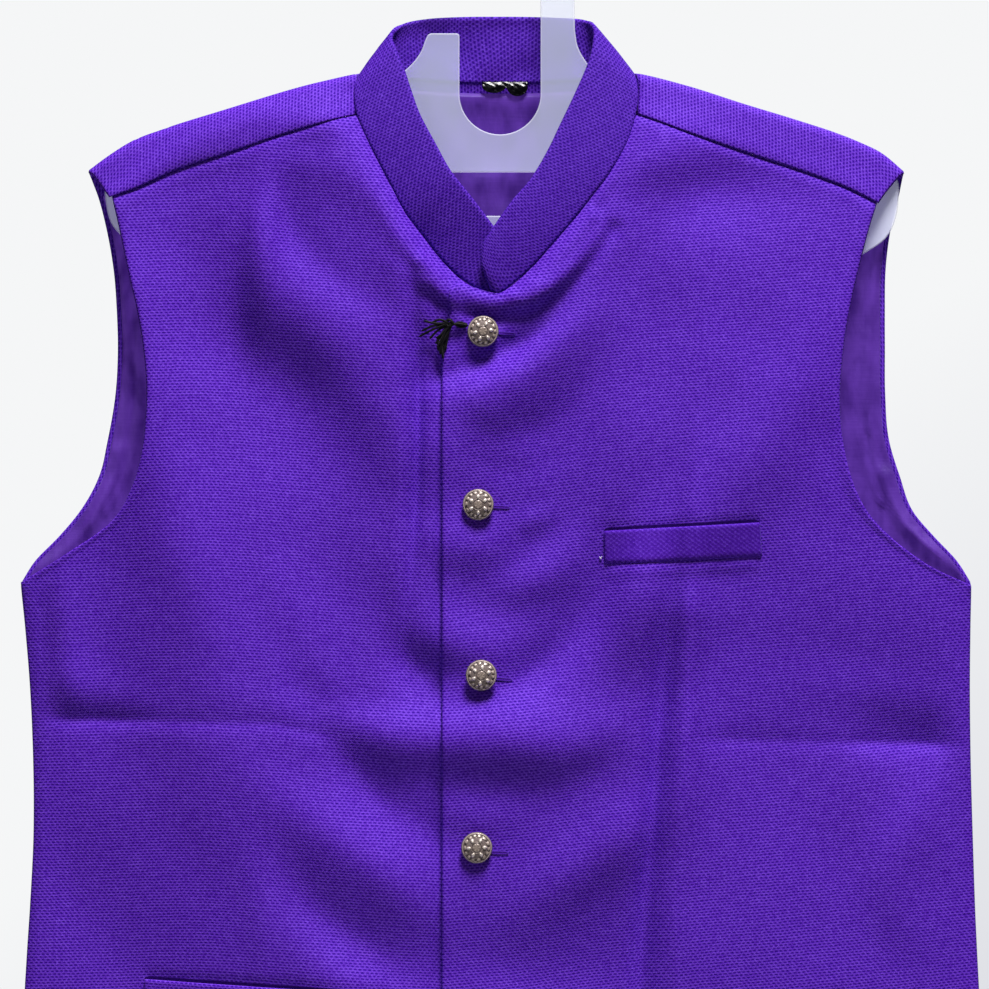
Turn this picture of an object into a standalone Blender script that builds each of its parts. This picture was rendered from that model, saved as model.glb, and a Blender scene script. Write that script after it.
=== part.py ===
"""A sleeveless nehru jacket with a band collar, hanging on a flat plastic hanger.

Lengths in the tables are millimetres; MM turns them into metres. The origin is the inside top of the
hanger's hook, where a rail or wall hook carries it. X runs across the chest towards the wearer's left,
Z up, and the front faces -Y.
"""

import math

import bmesh
import bpy
import numpy as np
from mathutils import Vector
from mathutils.bvhtree import BVHTree

MM = 0.001
# A place in front of everything, in metres
AHEAD = -0.2

# Cloth walls, and the gap kept between pieces
FRONT_WALL = 2.0
BACK_WALL = 1.5
LINING_WALL = 1.0
COLLAR_WALL = 2.6
WELT_WALL = 1.2
LABEL_WALL = 0.9
SEAM_GAP = 0.3
LINING_GAP = 0.45

# How deep the garment hangs in front of the hanger's plate and behind it
SHOULDER_ROUND = 4.5
FRONT_SETTLE = 70.0
BACK_SETTLE = 45.0
ROUND_FADE = (30.0, 150.0)
SIDE_FRONT = 1.15
SIDE_BACK = 0.9
DOME_POWER = 3.0
NECK_REACH = 90.0
NECK_BUMP = 7.0
NECK_SETTLE = 80.0
UNDERLAP = 5.6
UNDERLAP_FROM = -62.0
UNDERLAP_RUN = 24.0

HEM_Z = -787.6
UNDERARM_Z = -382.0

# Top fold of the shoulders and back neck: x, z
RIDGE = (
    (-238.7, -143.4),
    (-227.4, -135.0),
    (-212.7, -125.8),
    (-196.8, -119.7),
    (-156.8, -107.1),
    (-103.6, -91.7),
    (-80.6, -86.6),
    (-40.0, -84.0),
    (0.0, -83.0),
    (40.0, -84.0),
    (77.1, -86.4),
    (107.8, -93.8),
    (141.1, -104.4),
    (174.4, -114.6),
    (195.0, -121.4),
    (209.0, -127.0),
    (221.0, -133.0),
    (234.3, -144.2),
)

# Forward shoulder seam, where the back's strip meets the front: x, z
SHOULDER_SEAM = (
    (-226.1, -157.2),
    (-210.1, -151.6),
    (-190.1, -142.4),
    (-156.8, -131.5),
    (-116.9, -118.6),
    (-82.6, -109.4),
    (78.4, -108.8),
    (107.8, -119.6),
    (145.1, -132.2),
    (181.1, -144.2),
    (201.0, -151.8),
    (218.8, -160.8),
)

# Sides of the body from the underarm to the hem: z, wearer's right x, wearer's left x
SIDES = (
    (HEM_Z, -283.0, 286.0),
    (-660.0, -278.2, 280.4),
    (-600.0, -274.6, 276.8),
    (-530.0, -270.6, 274.2),
    (-475.0, -271.0, 272.8),
    (-420.0, -274.2, 272.6),
    (UNDERARM_Z, -278.0, 273.4),
)

# Hollow depth in front of the hanger and behind it: z, front, back
DEPTHS = (
    (HEM_Z, 24.0, 16.0),
    (-600.0, 26.0, 16.0),
    (-461.0, 25.0, 14.0),
    (-250.0, 25.0, 13.0),
    (-85.0, 22.0, 12.0),
)

# Folds of the fronts, positive where the cloth sinks: name, x0, z0, x1, z1, width, depth
FRONT_FOLDS = (
    ("armhole trough", -145.0, -172.0, -139.0, -240.0, 13.0, 3.6),
    ("chest trough", -137.0, -244.0, -48.0, -318.0, 19.0, 5.2),
    ("chest ridge", -112.0, -196.0, -66.0, -262.0, 18.0, -2.4),
    ("collar roll right", -34.0, -211.0, 0.0, -221.0, 7.0, -2.2),
    ("collar roll left", 0.0, -221.0, 42.0, -203.0, 7.0, -2.2),
    ("button hollow", -42.0, -232.0, 12.0, -237.0, 10.0, 3.6),
    ("hollow tail", 12.0, -237.0, 54.0, -200.0, 9.0, 3.4),
    ("button roll", -26.0, -268.0, 46.0, -238.0, 13.0, -3.4),
    ("second tuck", -30.0, -306.0, 22.0, -288.0, 10.0, 2.0),
    ("lap pull", 4.0, -331.0, 28.0, -330.0, 6.0, 1.2),
    ("lower lap pull", 6.0, -352.0, 30.0, -342.0, 7.0, 1.3),
    ("third tuck", -66.0, -398.0, -34.0, -428.0, 12.0, 2.6),
    ("waist roll", -70.0, -462.0, 72.0, -458.0, 20.0, -3.6),
    ("waist trough", -62.0, -498.0, 52.0, -497.0, 16.0, 6.0),
    ("right drape", -132.0, -520.0, -34.0, -574.0, 20.0, -5.0),
    ("right drape shade", -128.0, -566.0, -44.0, -622.0, 20.0, 4.0),
    ("left drape", 98.0, -504.0, 16.0, -560.0, 20.0, -4.6),
    ("left drape shade", 88.0, -556.0, 20.0, -604.0, 20.0, 3.6),
    ("right level crease", -262.0, -460.0, -112.0, -462.0, 6.0, 1.8),
    ("left level crease", 104.0, -472.0, 262.0, -475.0, 6.0, 1.8),
    ("right upright crease", -130.5, -372.0, -138.0, -770.0, 5.0, 1.3),
    ("left upright crease", 109.0, -364.0, 101.0, -770.0, 5.0, 1.8),
    ("left crease roll", 93.0, -380.0, 90.0, -470.0, 12.0, -1.8),
    ("skirt swell right", -206.0, -660.0, -196.0, -787.0, 26.0, -3.6),
    ("skirt sink right", -84.0, -672.0, -92.0, -787.0, 22.0, 3.4),
    ("skirt swell left", 56.0, -650.0, 48.0, -787.0, 24.0, -3.2),
    ("skirt sink left", 168.0, -640.0, 176.0, -787.0, 28.0, 3.6),
)

# Folds of the back, positive where the cloth sinks towards the hanger: name, x0, z0, x1, z1, width, depth
BACK_FOLDS = (
    ("yoke sag", -96.0, -178.0, 88.0, -170.0, 22.0, 2.2),
    ("blade swell right", -122.0, -214.0, -96.0, -352.0, 34.0, -3.0),
    ("blade swell left", 116.0, -208.0, 104.0, -338.0, 32.0, -2.6),
    ("spine sink", -4.0, -286.0, 8.0, -470.0, 24.0, 3.0),
    ("level crease right", -258.0, -462.0, -70.0, -466.0, 6.0, 1.6),
    ("level crease left", -70.0, -466.0, 258.0, -473.0, 6.0, 1.8),
    ("upright crease right", -132.0, -300.0, -136.0, -770.0, 5.0, 1.4),
    ("upright crease left", 106.0, -330.0, 102.0, -770.0, 5.0, 1.5),
    ("skirt swell right", -62.0, -600.0, -74.0, -787.0, 30.0, -4.2),
    ("skirt sink", 30.0, -570.0, 22.0, -787.0, 28.0, 3.8),
    ("skirt swell left", 158.0, -610.0, 172.0, -787.0, 34.0, -4.0),
)
FOLD_EDGE = 0.1

# Sections of the wearer's left front above the underarm: name, edge x, edge z, armhole x, armhole z
LEFT_SECTIONS = (
    ("shoulder", 78.6, -109.4, 218.8, -161.2),
    ("collar high", 73.3, -125.3, 213.2, -178.2),
    ("collar middle", 62.4, -144.3, 207.8, -198.1),
    ("collar low", 43.6, -169.1, 202.4, -220.8),
    ("collar front", 20.0, -196.3, 198.4, -244.8),
    ("collar end", -0.6, -214.1, 196.2, -275.0),
    ("top corner", -26.8, -209.8, 198.6, -303.0),
    ("first button", -29.4, -228.0, 206.0, -329.0),
    ("lap high", -33.2, -252.0, 219.5, -349.0),
    ("lap", -33.6, -292.0, 246.0, -370.0),
    ("underarm", -33.6, -340.0, 273.1, -383.0),
)
LEFT_EDGE_X = -33.6
LEFT_LEVELS = (-405.0, -440.0, -474.0, -498.0, -530.0, -572.0, -623.0, -680.0, -738.0)
LEFT_HEM_CORNER = (("hem curve", -29.5, -774.0), ("hem", -14.0, HEM_Z))

# The same for the wearer's right front, which runs on beneath the lap
RIGHT_SECTIONS = (
    ("shoulder", -82.8, -110.0, -226.0, -157.7),
    ("collar high", -76.9, -122.5, -221.4, -176.5),
    ("collar middle", -62.9, -150.7, -213.8, -207.0),
    ("collar low", -54.1, -167.8, -210.3, -221.0),
    ("collar front", -31.6, -196.3, -206.1, -244.8),
    ("collar end", -13.8, -212.0, -204.0, -272.0),
    ("top corner", 8.0, -216.0, -206.3, -303.0),
    ("first button", 10.0, -233.0, -212.7, -326.1),
    ("lap high", 10.0, -257.0, -224.5, -345.8),
    ("lap", 10.0, -296.0, -250.0, -364.0),
    ("underarm", 10.0, -342.0, -277.8, -381.2),
)
RIGHT_EDGE_X = 10.0
RIGHT_LEVELS = (-405.0, -435.0, -461.0, -496.0, -530.0, -572.0, -616.0, -680.0, -738.0)
RIGHT_HEM_CORNER = (("hem curve", 6.0, -774.0), ("hem", -10.0, HEM_Z))

# Sections over which the shoulder seam's own line fades out
SEAM_REACH = 3.0
FRONT_ROWS = 30
FRONT_COLUMNS = 16

# Strips of the back over the shoulders, from the seam up to the fold:
# name, drop below the fold, wearer's right tip x, neck x, wearer's left neck x, tip x
STRIP_ROWS = (
    ("under fold", SHOULDER_ROUND, -235.6, -85.6, 79.8, 231.4),
    ("front of fold", 1.32, -237.9, -83.5, 79.4, 233.5),
    ("fold", 0.0, -238.7, -82.0, 78.6, 234.3),
)
STRIP_SEAM = ("seam", -226.1, -83.0, 78.8, 218.8)

# Back armhole from the shoulder tip to the underarm: z, wearer's right x, wearer's left x
BACK_ARMHOLE = (
    (UNDERARM_Z, -278.0, 273.4),
    (-368.7, -269.6, 265.0),
    (-355.4, -256.7, 252.6),
    (-341.0, -244.6, 240.4),
    (-319.5, -232.8, 232.2),
    (-299.5, -228.1, 226.2),
    (-271.4, -223.4, 223.8),
    (-244.8, -222.1, 223.7),
    (-224.8, -222.7, 223.7),
    (-198.1, -224.8, 224.3),
    (-175.5, -228.8, 227.2),
    (-158.2, -233.2, 231.4),
    (-143.4, -238.7, 234.3),
)
# Shares of the way down the back at which its sections are cut, closest at the top: first, last, how many
BACK_BANDS = (
    (0.0021, 0.024, 3),
    (0.045, 0.232, 6),
    (0.274, 0.400, 6),
    (0.440, 0.560, 4),
    (0.620, 1.0, 6),
)
SHOULDER_COLUMNS = 7
NECK_COLUMNS = 8
NECK_SIDES = (-82.0, 78.6)
NECK_SEAM_SIDE = -87.4
NECK_SEAM_MIDDLE = -92.0
NECK_EASE = 0.92
NECK_EASE_RISE = 3.0
NECK_EASE_RUN = 0.04
LINING_ARMHOLE_INSET = 0.1
LINING_SIDE_INSET = 0.4
LINING_HEM_INSET = 0.45
LINING_FIRST_SECTION = 2

# Collar, from the lapping end round the neck to the end beneath:
# name, seam x, seam z, face the seam lies on, edge x, edge z, edge y
COLLAR_STATIONS = (
    ("lapping end", -0.8, -212.6, "front", -9.8, -196.0, -23.0),
    ("end curve", 8.6, -205.8, "front", -10.5, -187.6, -23.2),
    ("end shoulder", 18.7, -196.9, "front", -5.6, -178.6, -22.6),
    ("left front low", 31.0, -183.0, "front", 6.6, -161.2, -21.2),
    ("left front", 43.0, -169.0, "front", 17.6, -148.2, -19.6),
    ("left front middle", 53.2, -155.8, "front", 27.0, -132.4, -17.6),
    ("left front high", 62.0, -144.2, "front", 34.6, -116.6, -15.2),
    ("left neck low", 72.4, -126.0, "front", 43.2, -98.4, -12.4),
    ("left neck", 78.2, -107.0, "front", 50.4, -81.6, -9.0),
    ("left neck side", 78.8, -95.2, "front", 53.6, -69.0, -5.4),
    ("left fold", 75.8, -85.6, "fold", 53.8, -59.0, 0.6),
    ("back left", 69.0, -87.4, "back", 49.2, -54.6, 7.4),
    ("back left middle", 50.0, -89.6, "back", 37.0, -53.2, 10.8),
    ("back left inner", 25.0, -91.1, "back", 18.6, -52.4, 12.6),
    ("back middle", 0.0, -91.6, "back", -1.0, -52.2, 13.2),
    ("back right inner", -27.0, -91.1, "back", -22.0, -52.4, 12.6),
    ("back right middle", -53.0, -89.6, "back", -41.6, -53.6, 10.8),
    ("back right", -72.4, -87.6, "back", -56.2, -56.8, 7.2),
    ("right fold", -79.4, -85.8, "fold", -62.2, -63.2, 0.6),
    ("right neck side", -83.4, -95.9, "front", -60.2, -71.6, -5.4),
    ("right neck", -82.2, -109.0, "front", -55.4, -83.8, -9.0),
    ("right neck low", -77.0, -121.6, "front", -50.6, -98.4, -12.0),
    ("right front high", -71.3, -133.4, "front", -45.8, -111.4, -14.4),
    ("right front middle", -62.4, -150.4, "front", -37.2, -127.6, -16.4),
    ("right front", -53.5, -167.4, "front", -28.4, -143.5, -17.6),
    ("right front low", -42.3, -181.8, "front", -16.4, -158.8, -18.4),
    ("beneath lap", -31.0, -195.8, "front", -4.1, -174.9, -18.4),
    ("end beneath", -21.4, -205.0, "front", 2.6, -184.4, -18.2),
    ("hidden end", -11.0, -211.0, "front", 4.4, -195.0, -18.6),
)
COLLAR_LENGTHS = 56
COLLAR_COLUMNS = 4
COLLAR_BOW = 0.9
COLLAR_FACING = 3.0
COLLAR_SEAM_SHARE = 0.022

# Pocket welts, by their corners from top inner to bottom inner: x, z
CHEST_WELT = ((59.6, -351.2), (149.6, -346.3), (150.9, -366.2), (60.1, -370.6))
HIP_WELT_LENGTH = 140.0
HIP_WELT_HEIGHT = 22.0
HIP_WELT_SLOPE = math.radians(3.0)
HIP_WELT_RIGHT_START = (-205.4, -610.1)
HIP_WELT_LEFT_START = (200.7, -621.8)
WELT_CELL = 5.0
REST_GAP = 0.45

# Metal buttons: x, z of each from the top
BUTTONS = ((-9.8, -236.4), (-12.6, -336.1), (-10.8, -434.3), (-13.4, -533.4), (-12.7, -632.5))
BUTTON_RIM = 9.0
SHANK_RADIUS = 2.0
SHANK_BACK = -1.2
# Half section of a button from the crown to the back of its shank: radius, height
BUTTON_PROFILE = (
    (0.0, 4.3),
    (2.4, 4.15),
    (4.8, 3.6),
    (6.8, 2.7),
    (8.3, 1.5),
    (BUTTON_RIM, 0.5),
    (8.8, 0.0),
    (SHANK_RADIUS, 0.0),
    (SHANK_RADIUS, SHANK_BACK),
    (0.0, SHANK_BACK),
)
BUTTON_STEPS = 24
BUTTON_MERGE = 0.01
RIM_CHECKS = 16

LABEL_LEFT = -10.2
LABEL_RIGHT = 15.6
LABEL_TOP = -92.8
LABEL_BOTTOM = -101.4
LABEL_COLUMNS = 14
LABEL_ROWS = 4
LABEL_WAVE = 1.0
LABEL_STAND = 1.2
LABEL_CURL = 0.6

# Hanger plate
PLATE = 3.5
HOOK_INNER = 23.5
HOOK_WIDTH = 19.4
HOOK_CENTRE_Z = -23.5
HOOK_TIP_Z = -33.0
PRONG_TOP_Z = -63.0
NOTCH_CENTRE_Z = -98.1
PRONG_WIDTH = 18.2
PRONG_ROUND = 1.6
STEM_SIDE = ((43.4, -61.0), (45.0, -70.4), (49.2, -78.4), (55.0, -85.2), (68.0, -90.0))
PRONG_SIDE = (
    (-68.0, -90.2),
    (-57.6, -86.0),
    (-51.0, -80.6),
    (-46.0, -73.8),
    (-43.4, -67.0),
    (-41.8, -63.8),
)
SLOT_HALF = 78.0
SLOT_TOP = -143.5
SLOT_BOTTOM = -168.8
SLOT_ROUND = 8.0
ARM_DROP = 3.4
ARM_FROM = 84.0
ARM_TO = 216.0
LEFT_TIP = (
    (225.6, -141.8),
    (230.6, -148.4),
    (231.2, -156.0),
    (229.4, -170.0),
    (223.4, -182.0),
    (210.0, -191.4),
)
RIGHT_TIP = (
    (-208.0, -191.4),
    (-219.4, -182.0),
    (-224.6, -170.0),
    (-228.0, -156.0),
    (-228.0, -148.4),
    (-224.2, -141.8),
)
ARM_STEPS = 8
ARC_STEPS = 12
CORNER_STEPS = 4

COLOURS = {
    "shell_cloth": ((0.082, 0.019, 0.385, 1.0), 0.75, 0.0),
    "lining": ((0.105, 0.035, 0.36, 1.0), 0.45, 0.0),
    "button_metal": ((0.24, 0.18, 0.11, 1.0), 0.35, 1.0),
    "label": ((0.006, 0.006, 0.008, 1.0), 0.55, 0.0),
    "hanger_plastic": ((0.42, 0.42, 0.66, 1.0), 0.3, 0.0),
}


def clear_scene():
    for old in list(bpy.data.objects):
        bpy.data.objects.remove(old, do_unlink=True)


def make_materials():
    made = {}
    for slot, (colour, roughness, metallic) in COLOURS.items():
        material = bpy.data.materials.new(slot)
        material.use_nodes = True
        shader = material.node_tree.nodes["Principled BSDF"]
        shader.inputs["Base Color"].default_value = colour
        shader.inputs["Roughness"].default_value = roughness
        shader.inputs["Metallic"].default_value = metallic
        made[slot] = material
    return made


def smooth(share):
    share = np.clip(share, 0.0, 1.0)
    return share * share * (3.0 - 2.0 * share)


def along(table, where, column=1):
    """A column of a table read at values of its first column, with a smooth curve through the rows."""
    rows = sorted(row[:1] + (row[column],) for row in table)
    xs = np.array([row[0] for row in rows])
    ys = np.array([row[1] for row in rows])
    slopes = np.gradient(ys, xs)
    where = np.clip(np.asarray(where, float), xs[0], xs[-1])
    cell = np.clip(np.searchsorted(xs, where) - 1, 0, len(xs) - 2)
    run = xs[cell + 1] - xs[cell]
    t = (where - xs[cell]) / run
    rise = ys[cell + 1] - ys[cell]
    start, end = slopes[cell] * run, slopes[cell + 1] * run
    return ys[cell] + t * start + t * t * (3 * rise - 2 * start - end) + t**3 * (start + end - 2 * rise)


def through(rows, positions):
    """Points on the smooth curve through the rows, at fractional row numbers."""
    rows = np.asarray(rows, float)
    padded = np.vstack([2 * rows[0] - rows[1], rows, 2 * rows[-1] - rows[-2]])
    cell = np.clip(np.floor(positions).astype(int), 0, len(rows) - 2)
    t = (positions - cell)[:, None]
    a, b, c, d = (padded[cell + k] for k in range(4))
    return 0.5 * (2 * b + (c - a) * t + (2 * a - 5 * b + 4 * c - d) * t**2 + (3 * b - a - 3 * c + d) * t**3)


def side_share(x, z):
    """0 at the middle of the body and 1 at its side."""
    right, left = along(SIDES, z, 1), along(SIDES, z, 2)
    return np.clip(np.where(x < 0, x / right, x / left), 0.0, 1.0)


def fold_sum(folds, x, z):
    total = np.zeros_like(x, float)
    for _, x0, z0, x1, z1, width, depth in folds:
        run_x, run_z = x1 - x0, z1 - z0
        share = np.clip(((x - x0) * run_x + (z - z0) * run_z) / (run_x**2 + run_z**2), 0.0, 1.0)
        distance = np.hypot(x - x0 - share * run_x, z - z0 - share * run_z)
        total += depth * np.exp(-((distance / width) ** 2))
    return total


def drop_below_fold(x, z):
    return np.maximum(along(RIDGE, x) - z, 0.0)


def shoulder_round(drop):
    """Half the thickness of the fold over the hanger, fading out down the garment."""
    turn = 1.0 - np.clip(drop / SHOULDER_ROUND, 0.0, 1.0)
    start, end = ROUND_FADE
    fade = 1.0 - smooth((drop - start) / (end - start))
    return SHOULDER_ROUND * np.sqrt(1.0 - turn**2) * fade, fade


def front_y(x, z):
    """Middle of the front's wall."""
    x, z = np.asarray(x, float), np.asarray(z, float)
    drop = drop_below_fold(x, z)
    turn, fade = shoulder_round(drop)
    share = side_share(x, z)
    dome = (1.0 - share**DOME_POWER) * (1.0 - np.exp(-drop / FRONT_SETTLE))
    folds = fold_sum(FRONT_FOLDS, x, z) * smooth((1.0 - share) / FOLD_EDGE)
    return folds - turn - along(DEPTHS, z, 1) * dome - SIDE_FRONT * (1.0 - fade)


def back_y(x, z):
    """Middle of the back's wall."""
    x, z = np.asarray(x, float), np.asarray(z, float)
    drop = drop_below_fold(x, z)
    turn, fade = shoulder_round(drop)
    share = side_share(x, z)
    dome = (1.0 - share**DOME_POWER) * (1.0 - np.exp(-drop / BACK_SETTLE))
    near_neck = np.clip(1.0 - (x / NECK_REACH) ** 2, 0.0, 1.0) ** 2
    bump = NECK_BUMP * near_neck * np.exp(-drop / NECK_SETTLE)
    folds = fold_sum(BACK_FOLDS, x, z) * smooth((1.0 - share) / FOLD_EDGE)
    return turn + along(DEPTHS, z, 2) * dome + bump + SIDE_BACK * (1.0 - fade) - folds


def beneath_lap(x):
    """How far the wearer's right front and the collar's end step back to pass under the lap."""
    return UNDERLAP * smooth((x - UNDERLAP_FROM) / UNDERLAP_RUN)


def add_object(name, data, collection, material):
    made = bpy.data.objects.new(name, data)
    made.data.materials.append(material)
    collection.objects.link(made)
    return made


def add_sheet(name, points, wall, collection, material, keep=None, stand_off=0.0):
    """A cloth wall on a grid of points in millimetres, with keep marking the cells that exist.

    The wall's middle lies on the grid, or stand_off in front of it.
    """
    mesh = bmesh.new()
    verts = {}
    rows, columns = points.shape[0] - 1, points.shape[1] - 1

    def corner(row, column):
        if (row, column) not in verts:
            verts[row, column] = mesh.verts.new(Vector(points[row, column]) * MM)
        return verts[row, column]

    for row in range(rows):
        for column in range(columns):
            if keep is None or keep[row, column]:
                ring = ((row, column), (row + 1, column), (row + 1, column + 1), (row, column + 1))
                mesh.faces.new([corner(*place) for place in ring]).smooth = True
    data = bpy.data.meshes.new(name)
    mesh.to_mesh(data)
    mesh.free()
    made = add_object(name, data, collection, material)
    shell = made.modifiers.new("Wall", "SOLIDIFY")
    shell.thickness = wall * MM
    shell.offset = 2.0 * stand_off / wall
    return made


def front_rows(sections, edge_x, levels, corner, side_column):
    """Each section's two ends, with those below the underarm worked out from the sides."""
    rows = [row[1:] for row in sections]
    for level in levels:
        rows.append((edge_x, level, float(along(SIDES, level, side_column)), level))
    (_, curve_x, curve_z), (_, hem_x, hem_z) = corner
    rows.append((curve_x, curve_z, float(along(SIDES, curve_z, side_column)), curve_z))
    rows.append((hem_x, hem_z, float(along(SIDES, hem_z, side_column)), hem_z))
    return rows


def front_grid(rows, underlap):
    """Points of a front, ruled from its front edge to its armhole and side."""
    places = np.linspace(0.0, len(rows) - 1.0, FRONT_ROWS + 1)
    cut = through(rows, places)
    share = np.linspace(0.0, 1.0, FRONT_COLUMNS + 1)[None, :]
    edge_x, edge_z, side_x, side_z = (cut[:, k][:, None] for k in range(4))
    x = edge_x + (side_x - edge_x) * share
    z = edge_z + (side_z - edge_z) * share
    seam_rise = along(SHOULDER_SEAM, x[0]) - SEAM_GAP - z[0]
    z += seam_rise * np.clip(1.0 - places / SEAM_REACH, 0.0, 1.0)[:, None]
    y = front_y(x, z) + (beneath_lap(x) if underlap else 0.0)
    return np.stack([x, y, z], axis=-1)


def back_edge(z):
    """The back's two outer edges: armholes above the underarm, sides below."""
    right = np.where(z > UNDERARM_Z, along(BACK_ARMHOLE, z, 1), along(SIDES, z, 1))
    left = np.where(z > UNDERARM_Z, along(BACK_ARMHOLE, z, 2), along(SIDES, z, 2))
    return right, left


def spread(right_tip, right_neck, left_neck, left_tip):
    """x of each column across the two shoulders and the neck between them."""
    right = np.linspace(right_tip, right_neck, SHOULDER_COLUMNS + 1)
    neck = np.linspace(right_neck, left_neck, NECK_COLUMNS + 1)
    left = np.linspace(left_neck, left_tip, SHOULDER_COLUMNS + 1)
    return np.concatenate([right, neck[1:-1], left])


def back_grid():
    """Points of the back, from the forward shoulder seam over the fold and down to the hem."""
    rows = []
    x = spread(*STRIP_SEAM[1:])
    z = along(SHOULDER_SEAM, x) + SEAM_GAP
    rows.append(np.stack([x, front_y(x, z), z], axis=-1))
    for _, drop, *ends in STRIP_ROWS:
        x = spread(*ends)
        z = along(RIDGE, x) - drop
        rows.append(np.stack([x, front_y(x, z), z], axis=-1))
    fold_x, fold_z = rows[-1][:, 0], rows[-1][:, 2]
    right_neck, left_neck = NECK_SIDES
    neck = (fold_x > right_neck) & (fold_x < left_neck)
    bend = 1.0 - (2.0 * (fold_x - right_neck) / (left_neck - right_neck) - 1.0) ** 2
    seam_z = NECK_SEAM_SIDE + (NECK_SEAM_MIDDLE - NECK_SEAM_SIDE) * bend
    top_z = np.where(neck, seam_z, fold_z)
    rows[-1][:, 2] = top_z
    rows[-1][:, 1] = np.where(neck, back_y(fold_x, top_z), 0.0)
    tip_right, tip_left = fold_x[0], fold_x[-1]
    ease = np.where(neck, NECK_EASE * np.minimum(NECK_EASE_RISE * bend, 1.0), 0.0)
    for share in np.concatenate([np.linspace(*band) for band in BACK_BANDS]):
        z = top_z + (HEM_Z - top_z) * share * (1.0 - ease * math.exp(-share / NECK_EASE_RUN))
        edge_right, edge_left = back_edge(z[0])[0], back_edge(z[-1])[1]
        x = np.where(fold_x < 0, fold_x * edge_right / tip_right, fold_x * edge_left / tip_left)
        rows.append(np.stack([x, back_y(x, z), z], axis=-1))
    return np.array(rows)


def strip_cells(rows, columns):
    """Cells of the back that exist: the strips have none across the neck."""
    keep = np.ones((rows, columns), bool)
    keep[: len(STRIP_ROWS), SHOULDER_COLUMNS : SHOULDER_COLUMNS + NECK_COLUMNS] = False
    return keep


def lining_grid(back):
    """The back's own points without its strips, with the outer rows drawn in a little."""
    first = len(STRIP_ROWS) + LINING_FIRST_SECTION
    grid = back[first:].copy()
    armhole = grid[:, :1, 2] > UNDERARM_Z
    inset = np.where(armhole, LINING_ARMHOLE_INSET, LINING_SIDE_INSET)
    grid[:, 0] += (grid[:, 1] - grid[:, 0]) * inset
    grid[:, -1] += (grid[:, -2] - grid[:, -1]) * inset
    grid[-1] += (grid[-2] - grid[-1]) * LINING_HEM_INSET
    return grid


def collar_grid():
    """Sections of the collar's band, each from its seam to its free edge with a slight outward bow."""
    rows = []
    for name, seam_x, seam_z, face, edge_x, edge_z, edge_y in COLLAR_STATIONS:
        if face == "front":
            seam_y = float(front_y(seam_x, seam_z))
            under = seam_x < 0 and name != "lapping end"
            seam_y += float(beneath_lap(np.array(seam_x))) if under else 0.0
        elif face == "back":
            seam_y = float(back_y(seam_x, seam_z))
        else:
            seam_y = 0.0
        rows.append((seam_x, seam_y, seam_z, edge_x, edge_y, edge_z))
    cut = through(rows, np.linspace(0.0, len(rows) - 1.0, COLLAR_LENGTHS + 1))
    share = np.linspace(COLLAR_SEAM_SHARE, 1.0, COLLAR_COLUMNS + 1)[None, :, None]
    seam, edge = cut[:, None, :3], cut[:, None, 3:]
    grid = seam + (edge - seam) * share
    middle = cut[:, :3] + cut[:, 3:]
    outward = np.stack([middle[:, 0], middle[:, 1] * COLLAR_FACING, np.zeros(len(middle))], axis=-1)
    outward /= np.linalg.norm(outward, axis=1, keepdims=True)
    return grid + outward[:, None, :] * COLLAR_BOW * 4.0 * share * (1.0 - share)


def outer_face(made):
    """Reads how far forward an object's front face lies, in millimetres."""
    tree = BVHTree.FromObject(made, bpy.context.evaluated_depsgraph_get())

    def read(x, z):
        hit = tree.ray_cast(Vector((x * MM, AHEAD, z * MM)), Vector((0.0, 1.0, 0.0)))[0]
        return hit.y / MM

    return read


def add_welt(name, corners, face, collection, material):
    """A welt between four corners, lying just off the front beneath it."""
    top_in, top_out, bottom_out, bottom_in = (np.array(corner) for corner in corners)
    columns = math.ceil(np.linalg.norm(top_out - top_in) / WELT_CELL)
    rows = math.ceil(np.linalg.norm(bottom_in - top_in) / WELT_CELL)
    points = np.zeros((rows + 1, columns + 1, 3))
    for row in range(rows + 1):
        down = row / rows
        for column in range(columns + 1):
            across = column / columns
            top = top_in + (top_out - top_in) * across
            bottom = bottom_in + (bottom_out - bottom_in) * across
            x, z = top + (bottom - top) * down
            points[row, column] = x, face(x, z) - REST_GAP - WELT_WALL / 2, z
    return add_sheet(name, points, WELT_WALL, collection, material)


def hip_welt_corners(start, towards):
    """Corners of a hip welt whose line falls towards the middle of the jacket."""
    start = np.array(start)
    run = HIP_WELT_LENGTH * np.array((towards * math.cos(HIP_WELT_SLOPE), -math.sin(HIP_WELT_SLOPE)))
    fall = HIP_WELT_HEIGHT * np.array((-towards * math.sin(HIP_WELT_SLOPE), -math.cos(HIP_WELT_SLOPE)))
    return start, start + run, start + run + fall, start + fall


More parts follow.
